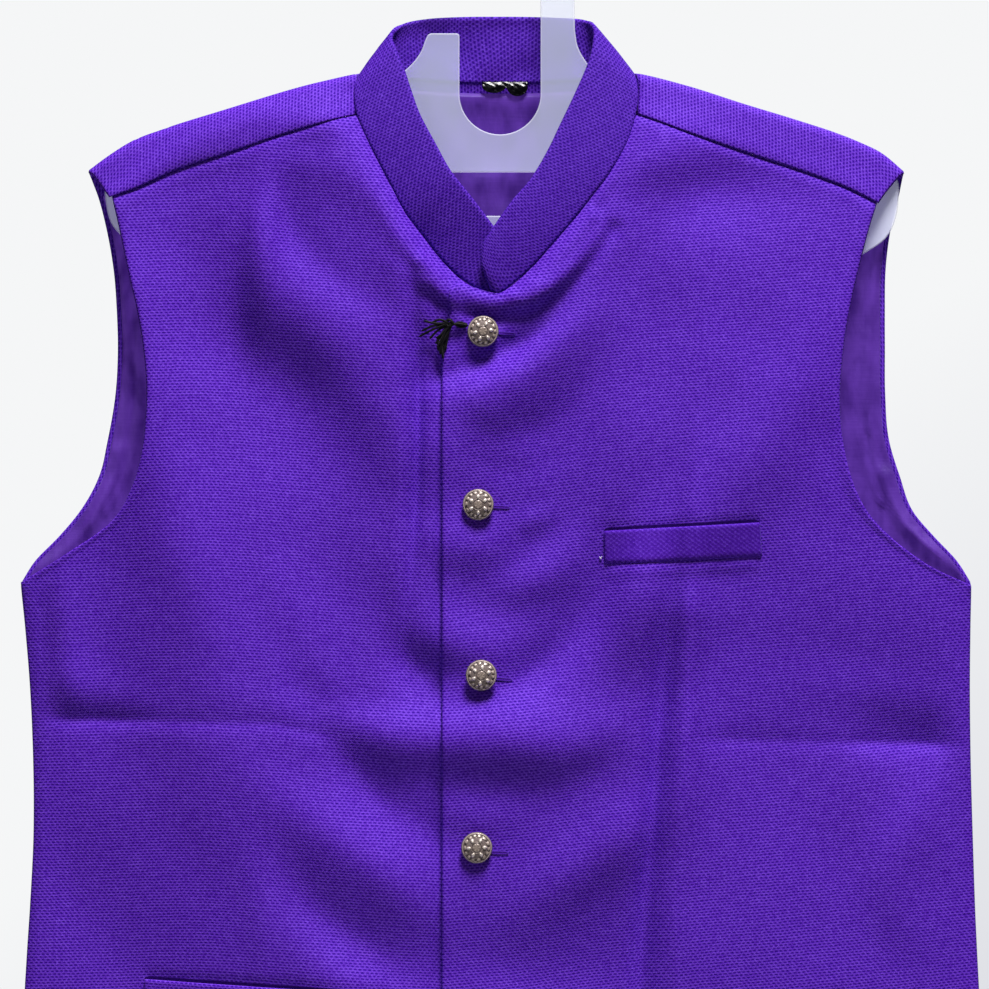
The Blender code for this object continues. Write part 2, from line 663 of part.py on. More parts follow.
def add_button(name, x, z, face, collection, material):
    """A turned button facing forward, its rim clear of the highest cloth beneath it."""
    profile = bmesh.new()
    ring = [profile.verts.new((radius * MM, 0.0, height * MM)) for radius, height in BUTTON_PROFILE]
    for first, second in zip(ring, ring[1:]):
        profile.edges.new((first, second))
    data = bpy.data.meshes.new(name)
    profile.to_mesh(data)
    profile.free()
    made = add_object(name, data, collection, material)
    turn = made.modifiers.new("Turn", "SCREW")
    turn.steps = turn.render_steps = BUTTON_STEPS
    turn.use_merge_vertices = True
    turn.merge_threshold = BUTTON_MERGE * MM
    turn.use_smooth_shade = True
    angles = np.linspace(0.0, 2.0 * math.pi, RIM_CHECKS, endpoint=False)
    turns = [(math.cos(angle), math.sin(angle)) for angle in angles]
    rim_face = min(face(x + BUTTON_RIM * right, z + BUTTON_RIM * up) for right, up in turns)
    shank_face = min(face(x + SHANK_RADIUS * right, z + SHANK_RADIUS * up) for right, up in turns)
    rest = min(rim_face, shank_face + SHANK_BACK) - REST_GAP
    made.location = (x * MM, rest * MM, z * MM)
    made.rotation_euler = (math.radians(90.0), 0.0, 0.0)
    return made


def add_label(lining, collection, material):
    """A limp label below the back neck seam, in small waves just in front of the lining."""
    x = np.linspace(LABEL_LEFT, LABEL_RIGHT, LABEL_COLUMNS + 1)[None, :]
    z = np.linspace(LABEL_TOP, LABEL_BOTTOM, LABEL_ROWS + 1)[:, None]
    share = (x - LABEL_LEFT) / (LABEL_RIGHT - LABEL_LEFT)
    down = (LABEL_TOP - z) / (LABEL_TOP - LABEL_BOTTOM)
    wave = LABEL_WAVE * (LABEL_STAND + np.sin(4.0 * math.pi * share) * down + down)
    behind = min(lining(px, LABEL_BOTTOM) for px in x[0])
    z = z + LABEL_CURL * np.sin(2.0 * math.pi * share) * down
    x = np.broadcast_to(x, z.shape)
    y = behind - SEAM_GAP - LABEL_WALL / 2 - wave
    return add_sheet("label", np.stack([x, y, z], axis=-1), LABEL_WALL, collection, material)


def arc(centre_x, centre_z, radius, start, end, steps=ARC_STEPS):
    """Points on an arc, by angles in degrees from +X."""
    angles = np.radians(np.linspace(start, end, steps + 1))
    return [(centre_x + radius * math.cos(a), centre_z + radius * math.sin(a)) for a in angles]


def arm_top(side):
    """The arm's top edge, just inside the shoulder's fold, from the neck to the tip."""
    places = side * np.linspace(ARM_FROM, ARM_TO, ARM_STEPS + 1)
    return [(x, float(along(RIDGE, x)) - ARM_DROP) for x in places]


def hanger_outline():
    """The plate from the hook's tip over the hook, down the stem, round both arms and up the prong."""
    outer = HOOK_INNER + HOOK_WIDTH
    tip = arc(-HOOK_INNER - HOOK_WIDTH / 2, HOOK_TIP_Z, HOOK_WIDTH / 2, 360.0, 180.0)
    hook = arc(0.0, HOOK_CENTRE_Z, outer, 180.0, 0.0)
    left_arm = list(STEM_SIDE) + arm_top(1.0) + list(LEFT_TIP)
    right_arm = list(RIGHT_TIP) + arm_top(-1.0)[::-1] + list(PRONG_SIDE)
    prong = [
        (-HOOK_INNER - PRONG_WIDTH + PRONG_ROUND, PRONG_TOP_Z),
        (-HOOK_INNER - PRONG_ROUND, PRONG_TOP_Z),
        (-HOOK_INNER, PRONG_TOP_Z - PRONG_ROUND),
    ]
    notch = arc(0.0, NOTCH_CENTRE_Z, HOOK_INNER, 180.0, 360.0)
    inner = arc(0.0, HOOK_CENTRE_Z, HOOK_INNER, 0.0, 180.0)
    return tip + hook + left_arm + right_arm + prong + notch + inner


def slot_outline():
    """The slot's edge, with a round corner at each end of its long sides."""
    half, low, high = SLOT_HALF - SLOT_ROUND, SLOT_BOTTOM + SLOT_ROUND, SLOT_TOP - SLOT_ROUND
    points = []
    for x, z, turn in ((half, high, 0.0), (-half, high, 90.0), (-half, low, 180.0), (half, low, 270.0)):
        points += arc(x, z, SLOT_ROUND, turn, turn + 90.0, CORNER_STEPS)
    return points


def add_hanger(collection, material):
    """The flat plate as a filled outline with one slot, as thick as PLATE."""
    shape = bpy.data.curves.new("hanger", "CURVE")
    shape.dimensions = "2D"
    shape.fill_mode = "BOTH"
    shape.extrude = PLATE / 2 * MM
    for outline in (hanger_outline(), slot_outline()):
        spline = shape.splines.new("POLY")
        spline.points.add(len(outline) - 1)
        for point, (x, z) in zip(spline.points, outline):
            point.co = (x * MM, z * MM, 0.0, 1.0)
        spline.use_cyclic_u = True
    made = add_object("hanger", shape, collection, material)
    made.rotation_euler = (math.radians(90.0), 0.0, 0.0)
    return made


def build():
    clear_scene()
    materials = make_materials()
    collection = bpy.data.collections.new("nehru_jacket")
    bpy.context.scene.collection.children.link(collection)
    cloth = materials["shell_cloth"]

    left_rows = front_rows(LEFT_SECTIONS, LEFT_EDGE_X, LEFT_LEVELS, LEFT_HEM_CORNER, 2)
    right_rows = front_rows(RIGHT_SECTIONS, RIGHT_EDGE_X, RIGHT_LEVELS, RIGHT_HEM_CORNER, 1)
    front_left = add_sheet("front_left", front_grid(left_rows, False), FRONT_WALL, collection, cloth)
    front_right = add_sheet("front_right", front_grid(right_rows, True), FRONT_WALL, collection, cloth)

    back = back_grid()
    keep = strip_cells(back.shape[0] - 1, back.shape[1] - 1)
    add_sheet("back", back, BACK_WALL, collection, cloth, keep)
    inside = BACK_WALL / 2 + LINING_GAP + LINING_WALL / 2
    grid = lining_grid(back)
    lining = add_sheet("back_lining", grid, LINING_WALL, collection, materials["lining"], stand_off=inside)
    add_sheet("collar", collar_grid(), COLLAR_WALL, collection, cloth)

    bpy.context.view_layer.update()
    left_face, right_face = outer_face(front_left), outer_face(front_right)
    add_welt("chest_welt", CHEST_WELT, left_face, collection, cloth)
    add_welt("hip_welt_right", hip_welt_corners(HIP_WELT_RIGHT_START, 1.0), right_face, collection, cloth)
    add_welt("hip_welt_left", hip_welt_corners(HIP_WELT_LEFT_START, -1.0), left_face, collection, cloth)
    for number, (x, z) in enumerate(BUTTONS, 1):
        add_button(f"button_{number}", x, z, left_face, collection, materials["button_metal"])
    add_label(outer_face(lining), collection, materials["label"])
    add_hanger(collection, materials["hanger_plastic"])


build()
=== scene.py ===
"""The looks of a sleeveless nehru jacket on its flat plastic hanger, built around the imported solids.

Lengths in the tables are millimetres and MM turns them into metres. X runs across the chest towards the wearer's
left, Z up, and the front faces -Y. The origin is the inside top of the hanger's hook.
"""

import math

import bmesh
import bpy
import numpy as np
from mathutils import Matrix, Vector


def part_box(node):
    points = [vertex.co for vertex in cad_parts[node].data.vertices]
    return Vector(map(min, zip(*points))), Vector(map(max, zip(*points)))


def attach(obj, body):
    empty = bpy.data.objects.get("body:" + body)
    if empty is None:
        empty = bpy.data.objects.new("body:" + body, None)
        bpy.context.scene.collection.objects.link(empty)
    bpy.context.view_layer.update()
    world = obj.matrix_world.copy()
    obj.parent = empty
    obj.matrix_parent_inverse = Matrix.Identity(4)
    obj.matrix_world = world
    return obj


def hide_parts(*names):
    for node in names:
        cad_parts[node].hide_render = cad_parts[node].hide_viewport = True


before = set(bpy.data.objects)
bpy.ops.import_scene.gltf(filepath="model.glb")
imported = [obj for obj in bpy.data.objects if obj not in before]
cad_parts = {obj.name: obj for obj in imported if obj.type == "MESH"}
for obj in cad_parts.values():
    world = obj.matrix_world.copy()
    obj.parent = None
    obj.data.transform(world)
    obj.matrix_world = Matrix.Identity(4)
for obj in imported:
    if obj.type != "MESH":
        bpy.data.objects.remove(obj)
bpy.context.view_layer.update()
MM = 0.001

# Cloth walls and the gaps between layers
FRONT_WALL = 2.0
BACK_WALL = 1.5
LINING_WALL = 0.7
COLLAR_WALL = 2.6
WELT_WALL = 1.3
LABEL_WALL = 0.5
SEAM_GAP = 0.3
SEAM_LAP = 1.2
SEAM_STEP = 1.15
SEAM_SINK = 2.3
COLLAR_SINK = 1.5
COLLAR_SINK_RUN = 3.4

SHOULDER_ROUND = 4.5
FRONT_SETTLE = 70.0
BACK_SETTLE = 45.0
ROUND_FADE = (30.0, 150.0)
SIDE_FRONT = 1.15
SIDE_BACK = 0.9
DOME_POWER = 3.0
NECK_REACH = 90.0
NECK_BUMP = 7.0
UNDERLAP = 4.0
UNDERLAP_FROM = -62.0
UNDERLAP_RUN = 24.0

HEM_Z = -787.6

# Top fold of the shoulders and back neck: x, z
RIDGE = (
    (-238.7, -143.4),
    (-227.4, -135.0),
    (-212.7, -125.8),
    (-196.8, -119.7),
    (-156.8, -107.1),
    (-103.6, -91.7),
    (-80.6, -86.6),
    (-40.0, -84.0),
    (0.0, -83.0),
    (40.0, -84.0),
    (77.1, -86.4),
    (107.8, -93.8),
    (141.1, -104.4),
    (174.4, -114.6),
    (195.0, -121.4),
    (209.0, -127.0),
    (221.0, -133.0),
    (234.3, -144.2),
)

# Forward shoulder seam: x, z
SHOULDER_SEAM = (
    (-226.1, -157.2),
    (-210.1, -151.6),
    (-190.1, -142.4),
    (-156.8, -131.5),
    (-116.9, -118.6),
    (-82.6, -109.4),
    (78.4, -108.8),
    (107.8, -119.6),
    (145.1, -132.2),
    (181.1, -144.2),
    (201.0, -151.8),
    (218.8, -160.8),
)

# Sides of the body from the hem to the underarm: z, wearer's right x, wearer's left x
SIDES = (
    (HEM_Z, -283.0, 286.0),
    (-660.0, -278.2, 280.4),
    (-600.0, -274.6, 276.8),
    (-530.0, -270.6, 274.2),
    (-475.0, -271.0, 272.8),
    (-420.0, -274.2, 272.6),
    (-382.0, -278.0, 273.4),
)

# Hollow depth in front of the hanger and behind it: z, front, back
DEPTHS = (
    (HEM_Z, 24.0, 16.0),
    (-600.0, 26.0, 16.0),
    (-461.0, 25.0, 14.0),
    (-250.0, 25.0, 13.0),
    (-85.0, 22.0, 12.0),
)

# Soft folds of the fronts: name, width, depth (positive sinks), points x, z
FRONT_FOLDS = (
    ("collar roll", 3.8, -1.9, (-50.0, -190.0), (-40.0, -200.0), (-28.0, -210.0), (-16.0, -215.5), (0.0, -217.5),
        (10.0, -215.5), (22.0, -206.5), (34.0, -194.0), (46.0, -180.0), (57.0, -165.0)),
    ("roll hollow", 5.5, 2.4, (-46.0, -208.0), (-36.0, -219.0), (-20.0, -227.0), (0.0, -230.0), (16.0, -227.0),
        (32.0, -217.0), (46.0, -203.0), (58.0, -188.0), (70.0, -170.0)),
    ("skirt swell right", 23.2, -3.6, (-205.9, -658.3), (-198.4, -803.3)),
    ("skirt sink right", 20.9, 3.4, (-83.5, -669.9), (-91.6, -803.3)),
    ("skirt swell left", 23.2, -3.2, (55.7, -652.5), (48.7, -803.3)),
    ("skirt sink left", 26.7, 3.6, (168.2, -640.9), (176.3, -803.3)),
)

# Swells and sinks of the fronts: name, middle x, z, slant in degrees (positive falls to the right), half length,
# half width, sag (positive lifts the ends), height (positive stands forward)
FRONT_SWELLS = (
    ("chest upper crest", -111.9, -246.1, 38, 84, 27.3, -24.9, 5.0),
    ("chest upright crest", -135.4, -179.7, 94, 53, 10.7, 2.2, 7.8),
    ("chest long trough", -105.4, -316.0, 69, 113, 32.5, -24.3, -7.8),
    ("chest wedge trough", -112.2, -179.7, 56, 48, 13.4, 11.6, -3.8),
    ("collar side crest", -74.3, -170.2, 53, 63, 21.3, -34.8, 7.7),
    ("collar side trough", -33.3, -244.6, 54, 111, 11.0, -3.8, 1.0),
    ("button crest", 9.5, -211.6, -15, 36, 7.0, 10.9, 7.8),
    ("button trough", 5.3, -243.8, -31, 41, 9.3, 5.2, -9.2),
    ("under roll crest", 17.0, -233.8, -58, 85, 24.1, 14.8, 7.8),
    ("under roll trough", 19.3, -281.3, -23, 51, 14.9, 25.5, -2.2),
    ("second crest", 11.0, -310.2, -4, 33, 8.8, 12.5, -1.0),
    ("second pull crest", 20.1, -344.5, -21, 12, 7.0, 1.2, 1.6),
    ("second pull trough", -12.3, -358.7, -4, 29, 16.0, 7.8, 4.1),
    ("third tuck crest", -34.3, -411.3, 50, 124, 24.9, 0.2, 4.3),
    ("third tuck trough", -44.7, -425.9, 30, 26, 16.2, 12.2, -7.2),
    ("third left tuck", 20.8, -357.2, -47, 65, 32.3, 27.5, -7.8),
    ("waist rise trough", 7.9, -420.5, -33, 83, 14.7, 31.0, -6.2),
    ("waist crest", -13.9, -468.8, 3, 95, 21.5, 7.2, 7.8),
    ("waist hollow", -32.2, -498.2, 12, 74, 18.5, 34.8, -7.4),
    ("waist line", -15.5, -510.4, 2, 44, 15.4, 11.1, 7.8),
    ("right drape crest", -84.1, -536.0, 40, 53, 17.2, -2.4, 5.9),
    ("right drape trough", -88.1, -581.9, 40, 49, 17.3, 6.3, -7.5),
    ("right low crest", -90.3, -605.1, 79, 67, 26.3, -1.9, 7.8),
    ("left drape crest", 58.6, -534.4, -39, 56, 18.4, 1.9, 5.0),
    ("left drape trough", 40.4, -592.5, -40, 46, 38.8, 34.8, -7.1),
    ("left crease valley", 108.3, -421.1, 92, 133, 8.2, 1.0, 4.3),
    ("left side valley", 231.6, -455.4, 24, 91, 30.9, 0.8, -6.3),
    ("right side swell", -226.7, -401.9, 95, 81, 18.1, 2.0, -3.0),
    ("right side rise", -250.3, -399.1, 91, 49, 10.2, 6.8, 3.0),
    ("left shoulder crest", 92.7, -142.5, -43, 30, 25.5, -4.1, 7.8),
    ("left shoulder trough", 105.0, -155.8, 2, 61, 22.0, -4.4, -6.5),
    ("right shoulder crest", -105.7, -130.8, 14, 75, 13.1, -34.8, 7.2),
    ("left chest ridge", 125.3, -255.1, 97, 32, 19.1, -3.0, 2.2),
    ("right chest swell", -147.0, -260.0, 68, 133, 32.1, 0.9, -7.8),
    ("left chest swell", 141.8, -305.1, 123, 133, 27.8, -6.1, 6.5),
    ("low right diagonal", -227.4, -588.9, 56, 81, 32.9, -5.4, -4.1),
    ("low left diagonal", 230.6, -547.5, -83, 37, 17.1, -8.8, 4.3),
    ("left mid swell", 172.5, -522.1, 55, 128, 41.2, -26.1, -3.5),
    ("right mid swell", -155.1, -497.5, 73, 133, 30.5, 8.7, 5.3),
    ("neck side shade", -47.3, -188.2, 59, 54, 7.3, 2.5, 7.8),
    ("left neck shade", 7.4, -225.1, -24, 72, 15.8, 4.9, -3.7),
    ("right waist side", -247.8, -444.3, 16, 55, 15.9, -2.5, 2.4),
    ("left waist side", 224.7, -448.0, 12, 58, 17.2, -0.1, 3.6),
    ("left crease upper shade", 77.4, -391.5, 93, 45, 15.8, -2.6, 6.6),
    ("left crease lower shade", 86.8, -532.9, 94, 133, 7.3, 1.4, -7.8),
    ("lap mid pull", 21.7, -374.7, -31, 31, 14.1, 6.8, 5.9),
    ("right lap side", -50.0, -302.2, 91, 96, 5.0, -4.2, -6.5),
    ("right crease soft", -142.6, -522.3, 88, 74, 7.4, 4.0, 0.7),
    ("left chest tuck", 69.0, -317.1, -63, 49, 24.0, 4.2, 4.4),
    ("left arm tuck", 215.9, -311.8, 75, 42, 7.9, 13.0, 6.7),
    ("right arm tuck", -184.5, -337.7, 75, 130, 22.8, 7.7, 4.9),
    ("right neck strip", -100.0, -99.0, 15, 32, 9.0, 0.0, 2.4),
)

# Pressed creases: name, width before, width after, depth (positive sinks), points x, z
FRONT_CREASES = (
    ("right level crease", 10.0, 4.6, 1.7, (-286.5, -459.9), (-220.4, -460.5), (-130.5, -462.3), (-85.8, -472.7)),
    ("right side level crease", 13.0, 6.0, 1.9, (-286.5, -459.9), (-236.0, -460.3), (-190.0, -461.0)),
    ("left level crease", 8.0, 4.6, 1.3, (102.1, -471.5), (162.4, -472.7), (290.0, -476.2)),
    ("left side level crease", 14.0, 6.0, 2.4, (190.0, -473.0), (230.0, -474.6), (290.0, -476.2)),
    ("right upright crease", 5.8, 7.0, -1.0, (-128.2, -353.8), (-130.5, -461.1), (-136.9, -623.5), (-138.0, -814.9)),
    ("left upright crease", 18.0, 12.0, -4.6, (111.0, -371.5), (110.2, -391.5), (106.7, -472.7), (100.9, -565.5),
        (98.6, -814.9)),
)

# Soft folds of the back: name, width, depth (positive sinks towards the hanger), points x, z
BACK_FOLDS = (
    ("yoke sag", 22.0, 2.2, (-96.0, -178.0), (88.0, -170.0)),
    ("blade swell right", 34.0, -3.0, (-122.0, -214.0), (-96.0, -352.0)),
    ("blade swell left", 32.0, -2.6, (116.0, -208.0), (104.0, -338.0)),
    ("spine sink", 24.0, 3.0, (-4.0, -286.0), (8.0, -470.0)),
    ("skirt swell right", 30.0, -4.2, (-62.0, -600.0), (-74.0, -787.0)),
    ("skirt sink", 28.0, 3.8, (30.0, -570.0), (22.0, -787.0)),
    ("skirt swell left", 34.0, -4.0, (158.0, -610.0), (172.0, -787.0)),
)
BACK_CREASES = (
    ("level crease right", 14.0, 7.0, 1.8, (-268.0, -462.0), (-70.0, -466.0)),
    ("level crease left", 13.0, 8.0, 1.8, (-70.0, -466.0), (268.0, -474.0)),
    ("upright crease right", 7.0, 9.0, -1.4, (-132.0, -290.0), (-136.0, -780.0)),
    ("upright crease left", 12.0, 7.0, -1.5, (106.0, -320.0), (102.0, -780.0)),
)
FOLD_EDGE = 0.1
END_FADE = 1.8
CREASE_ROUND = 1.2
CREASE_FADE = 30.0

# Sections of the wearer's left front above the underarm: name, edge x, edge z, armhole x, armhole z
LEFT_SECTIONS = (
    ("shoulder", 78.6, -109.4, 218.8, -161.2),
    ("collar high", 73.3, -125.3, 213.2, -178.2),
    ("collar middle", 62.4, -144.3, 207.8, -198.1),
    ("collar low", 43.6, -169.1, 202.4, -220.8),
    ("collar front", 20.0, -196.3, 198.4, -244.8),
    ("collar end", -0.6, -214.1, 196.2, -275.0),
    ("top corner", -26.8, -209.8, 198.6, -303.0),
    ("first button", -29.4, -228.0, 206.0, -329.0),
    ("lap high", -33.2, -252.0, 219.5, -349.0),
    ("lap", -33.6, -292.0, 246.0, -370.0),
    ("underarm", -33.6, -340.0, 273.1, -383.0),
)
LEFT_EDGE_X = -33.6
LEFT_LEVELS = (-405.0, -440.0, -474.0, -498.0, -530.0, -572.0, -623.0, -680.0, -738.0)
LEFT_HEM_CORNER = ((-29.5, -774.0), (-14.0, HEM_Z))

# The same for the wearer's right front, which runs on beneath the lap
RIGHT_SECTIONS = (
    ("shoulder", -82.8, -110.0, -225.2, -157.7),
    ("collar high", -76.9, -122.5, -220.6, -176.5),
    ("collar middle", -62.9, -150.7, -213.8, -207.0),
    ("collar low", -54.1, -167.8, -210.3, -221.0),
    ("collar front", -31.6, -196.3, -206.1, -244.8),
    ("collar end", -13.8, -212.0, -204.0, -272.0),
    ("top corner", 8.0, -216.0, -206.3, -303.0),
    ("first button", 10.0, -233.0, -212.7, -326.1),
    ("lap high", 10.0, -257.0, -224.5, -345.8),
    ("lap", 10.0, -296.0, -250.0, -364.0),
    ("underarm", 10.0, -342.0, -277.8, -381.2),
)
RIGHT_EDGE_X = 10.0
RIGHT_LEVELS = (-405.0, -435.0, -461.0, -496.0, -530.0, -572.0, -616.0, -680.0, -738.0)
RIGHT_HEM_CORNER = ((6.0, -774.0), (-10.0, HEM_Z))
SEAM_REACH = 3.0

# Across the shoulders at the seam, under the fold and at the fold: right tip, right neck, left neck, left tip
STRIP_SEAM = (-226.1, -83.0, 78.8, 218.8)
STRIP_UNDER = (-235.6, -82.6, 79.4, 231.4)
STRIP_FOLD = (-238.7, -82.0, 78.6, 234.3)

# Back armhole from the underarm to the shoulder tip: z, wearer's right x, wearer's left x
BACK_ARMHOLE = (
    (-382.0, -278.0, 273.4),
    (-368.7, -269.6, 265.0),
    (-355.4, -256.7, 252.6),
    (-341.0, -244.6, 240.4),
    (-319.5, -232.8, 232.2),
    (-299.5, -228.1, 226.2),
    (-271.4, -223.4, 223.8),
    (-244.8, -222.1, 223.7),
    (-224.8, -222.7, 223.7),
    (-198.1, -224.8, 224.3),
    (-175.5, -228.8, 227.2),
    (-158.2, -233.2, 231.4),
    (-143.4, -238.7, 234.3),
)
NECK_SIDES = (-82.0, 78.6)
NECK_SEAM_SIDE = -86.4
NECK_SEAM_MIDDLE = -90.2
NECK_EASE = 0.92
NECK_EASE_RUN = 28.0

# Collar, from the lapping end round the neck to the end beneath: name, seam x, seam z,
# face the seam lies on (under is the front beneath the lap), edge x, edge z, edge y
COLLAR_STATIONS = (
    ("lapping end", -6.2, -211.2, "front", -10.0, -199.6, -24.6),
    ("end corner", -0.6, -213.2, "front", -10.7, -193.4, -25.2),
    ("end curve", 8.6, -206.4, "front", -9.6, -185.6, -25.2),
    ("end shoulder", 18.7, -196.9, "front", -5.2, -178.0, -24.6),
    ("left front low", 31.0, -183.0, "front", 6.6, -161.2, -22.8),
    ("left front", 43.0, -169.0, "front", 17.6, -148.2, -20.6),
    ("left front middle", 53.2, -155.8, "front", 27.0, -132.4, -18.4),
    ("left front high", 62.0, -144.2, "front", 34.6, -116.6, -15.8),
    ("left neck low", 72.4, -126.0, "front", 43.2, -98.4, -12.6),
    ("left neck", 78.2, -107.0, "front", 50.4, -81.6, -9.0),
    ("left neck side", 78.8, -95.2, "front", 53.6, -69.0, -5.4),
    ("left fold", 75.8, -85.6, "fold", 53.8, -59.0, 0.6),
    ("back left", 69.0, -86.6, "back", 49.2, -54.6, 7.4),
    ("back left middle", 50.0, -88.4, "back", 37.0, -53.2, 10.8),
    ("back left inner", 25.0, -89.8, "back", 18.6, -52.4, 12.6),
    ("back middle", 0.0, -90.2, "back", -1.0, -52.2, 13.2),
    ("back right inner", -27.0, -89.8, "back", -22.0, -52.4, 12.6),
    ("back right middle", -53.0, -88.4, "back", -41.6, -53.6, 10.8),
    ("back right", -72.4, -86.9, "back", -56.2, -56.8, 7.2),
    ("right fold", -79.4, -85.8, "fold", -62.2, -63.2, 0.6),
    ("right neck side", -83.4, -95.9, "under", -60.2, -71.6, -5.6),
    ("right neck", -82.2, -109.0, "under", -55.4, -83.8, -9.8),
    ("right neck low", -77.0, -121.6, "under", -50.6, -98.4, -13.8),
    ("right front high", -71.3, -133.4, "under", -45.8, -111.4, -17.0),
    ("right front middle", -62.4, -150.4, "under", -37.2, -127.6, -19.4),
    ("right front", -53.5, -167.4, "under", -28.4, -143.5, -22.0),
    ("right front low", -42.3, -181.8, "under", -16.4, -158.8, -22.4),
    ("beneath lap", -31.0, -195.8, "under", -4.1, -174.9, -20.8),
    ("end beneath", -21.4, -205.0, "under", 2.6, -184.4, -19.0),
    ("hidden turn", -12.4, -210.8, "under", 6.2, -191.6, -18.8),
    ("hidden end", -3.4, -213.8, "under", 8.6, -199.2, -18.8),
)
COLLAR_BOW = 0.9
COLLAR_SEAMS = [[row[1:3] for row in COLLAR_STATIONS if row[3] == face] for face in ("front", "under")]
SEAM_HOLD = 13.0
COLLAR_SEAM_SHARE = -0.04

# Pocket welts, by their corners from top inner to bottom inner: x, z
CHEST_WELT = ((59.6, -351.2), (149.6, -346.3), (150.9, -366.2), (60.1, -370.6))
HIP_WELT_LENGTH = 140.0
HIP_WELT_HEIGHT = 22.0
HIP_WELT_SLOPE = math.radians(3.0)
HIP_WELT_RIGHT_START = (-205.4, -610.1)
HIP_WELT_LEFT_START = (200.7, -621.8)
REST_GAP = 0.3
WELT_REST = 0.3
WELT_TUCK = 2.4

# Where the fronts give way above the welts and swell below them: name, width, depth (positive sinks), points x, z
POCKET_FOLDS = (
    ("chest mouth", 3.0, 0.7, (57.6, -350.6), (104.6, -347.8), (151.6, -345.2)),
    ("chest ledge", 3.2, -0.7, (59.0, -375.2), (105.0, -373.0), (151.0, -370.4)),
    ("right hip mouth", 3.4, 0.9, (-207.4, -608.6), (-135.0, -612.6), (-63.6, -616.4)),
    ("left hip mouth", 3.4, 0.9, (202.7, -620.3), (131.0, -624.2), (58.9, -628.1)),
)

# Hanger plate
PLATE = 3.5
HOOK_INNER = 23.5
HOOK_WIDTH = 19.4
HOOK_CENTRE_Z = -23.5
HOOK_TIP_Z = -33.0
PRONG_TOP_Z = -63.0
NOTCH_CENTRE_Z = -98.1
PRONG_WIDTH = 18.2
PRONG_ROUND = 1.6
STEM_SIDE = ((43.4, -61.0), (45.0, -70.4), (49.2, -78.4), (55.0, -85.2), (68.0, -90.0))
PRONG_SIDE = ((-68.0, -90.2), (-57.6, -86.0), (-51.0, -80.6), (-46.0, -73.8), (-43.4, -67.0), (-41.8, -63.8))
SLOT_HALF = 78.0
SLOT_TOP = -143.5
SLOT_BOTTOM = -168.8
SLOT_ROUND = 8.0
ARM_DROP = 3.4
ARM_FROM = 84.0
ARM_TO = 216.0
LEFT_TIP = ((225.6, -141.8), (230.6, -148.4), (231.2, -156.0), (229.4, -170.0), (223.4, -182.0), (210.0, -191.4))
RIGHT_TIP = ((-208.0, -191.4), (-219.4, -180.6), (-225.6, -172.6), (-228.4, -162.0), (-229.0, -149.4), (-224.6, -141.8))
PLATE_BEVEL = 0.7


def smooth(share):
    share = np.clip(share, 0.0, 1.0)
    return share * share * (3.0 - 2.0 * share)


def along(table, where, column=1):
    """A column of a table read at values of its first column, with a smooth curve through the rows."""
    rows = sorted(row[:1] + (row[column],) for row in table)
    xs = np.array([row[0] for row in rows])
    ys = np.array([row[1] for row in rows])
    slopes = np.gradient(ys, xs)
    where = np.clip(np.asarray(where, float), xs[0], xs[-1])
    cell = np.clip(np.searchsorted(xs, where) - 1, 0, len(xs) - 2)
    run = xs[cell + 1] - xs[cell]
    t = (where - xs[cell]) / run
    rise = ys[cell + 1] - ys[cell]
    start, end = slopes[cell] * run, slopes[cell + 1] * run
    return ys[cell] + t * start + t * t * (3 * rise - 2 * start - end) + t**3 * (start + end - 2 * rise)


def through(rows, positions):
    """Points on the smooth curve through the rows, at fractional row numbers."""
    rows = np.asarray(rows, float)
    padded = np.vstack([2 * rows[0] - rows[1], rows, 2 * rows[-1] - rows[-2]])
    cell = np.clip(np.floor(positions).astype(int), 0, len(rows) - 2)
    t = (positions - cell)[:, None]
    a, b, c, d = (padded[cell + k] for k in range(4))
    return 0.5 * (2 * b + (c - a) * t + (2 * a - 5 * b + 4 * c - d) * t**2 + (3 * b - a - 3 * c + d) * t**3)


def cornered(rows, corner, positions):
    """The curve through the rows with a corner at one of them."""
    above, below = through(rows[: corner + 1], positions), through(rows[corner:], positions - corner)
    return np.where((positions < corner)[:, None], above, below)


SIDE_JOIN = 0.012
SIDE_MEET = 0.98


def side_share(x, z):
    """0 at the middle of the body and 1 at its side."""
    right, left = along(SIDES, z, 1), along(SIDES, z, 2)
    return np.clip(np.where(x < 0, x / right, x / left), 0.0, 1.0)


def nearest(points, x, z):
    """Distance from a line of points, the side of it (1 on its left), and how far along from its nearer end."""
    best, side, where = np.full(np.shape(x), np.inf), np.ones(np.shape(x)), np.zeros(np.shape(x))
    done = 0.0
    for (x0, z0), (x1, z1) in zip(points, points[1:]):
        run_x, run_z = x1 - x0, z1 - z0
        length = math.hypot(run_x, run_z)
        share = np.clip(((x - x0) * run_x + (z - z0) * run_z) / length**2, 0.0, 1.0)
        away_x, away_z = x - x0 - share * run_x, z - z0 - share * run_z
        distance = np.hypot(away_x, away_z)
        closer = distance < best
        best = np.where(closer, distance, best)
        side = np.where(closer, np.sign(run_x * away_z - run_z * away_x), side)
        where = np.where(closer, done + share * length, where)
        done += length
    return best, side, np.minimum(where, done - where)


def fold_sum(folds, x, z):
    """Soft folds, each dying away over its own width across and towards its ends."""
    total = np.zeros(np.shape(x))
    for _, width, depth, *points in folds:
        distance, _, end = nearest(points, x, z)
        total += depth * np.exp(-((distance / width) ** 2)) * smooth(end / (END_FADE * width))
    return total


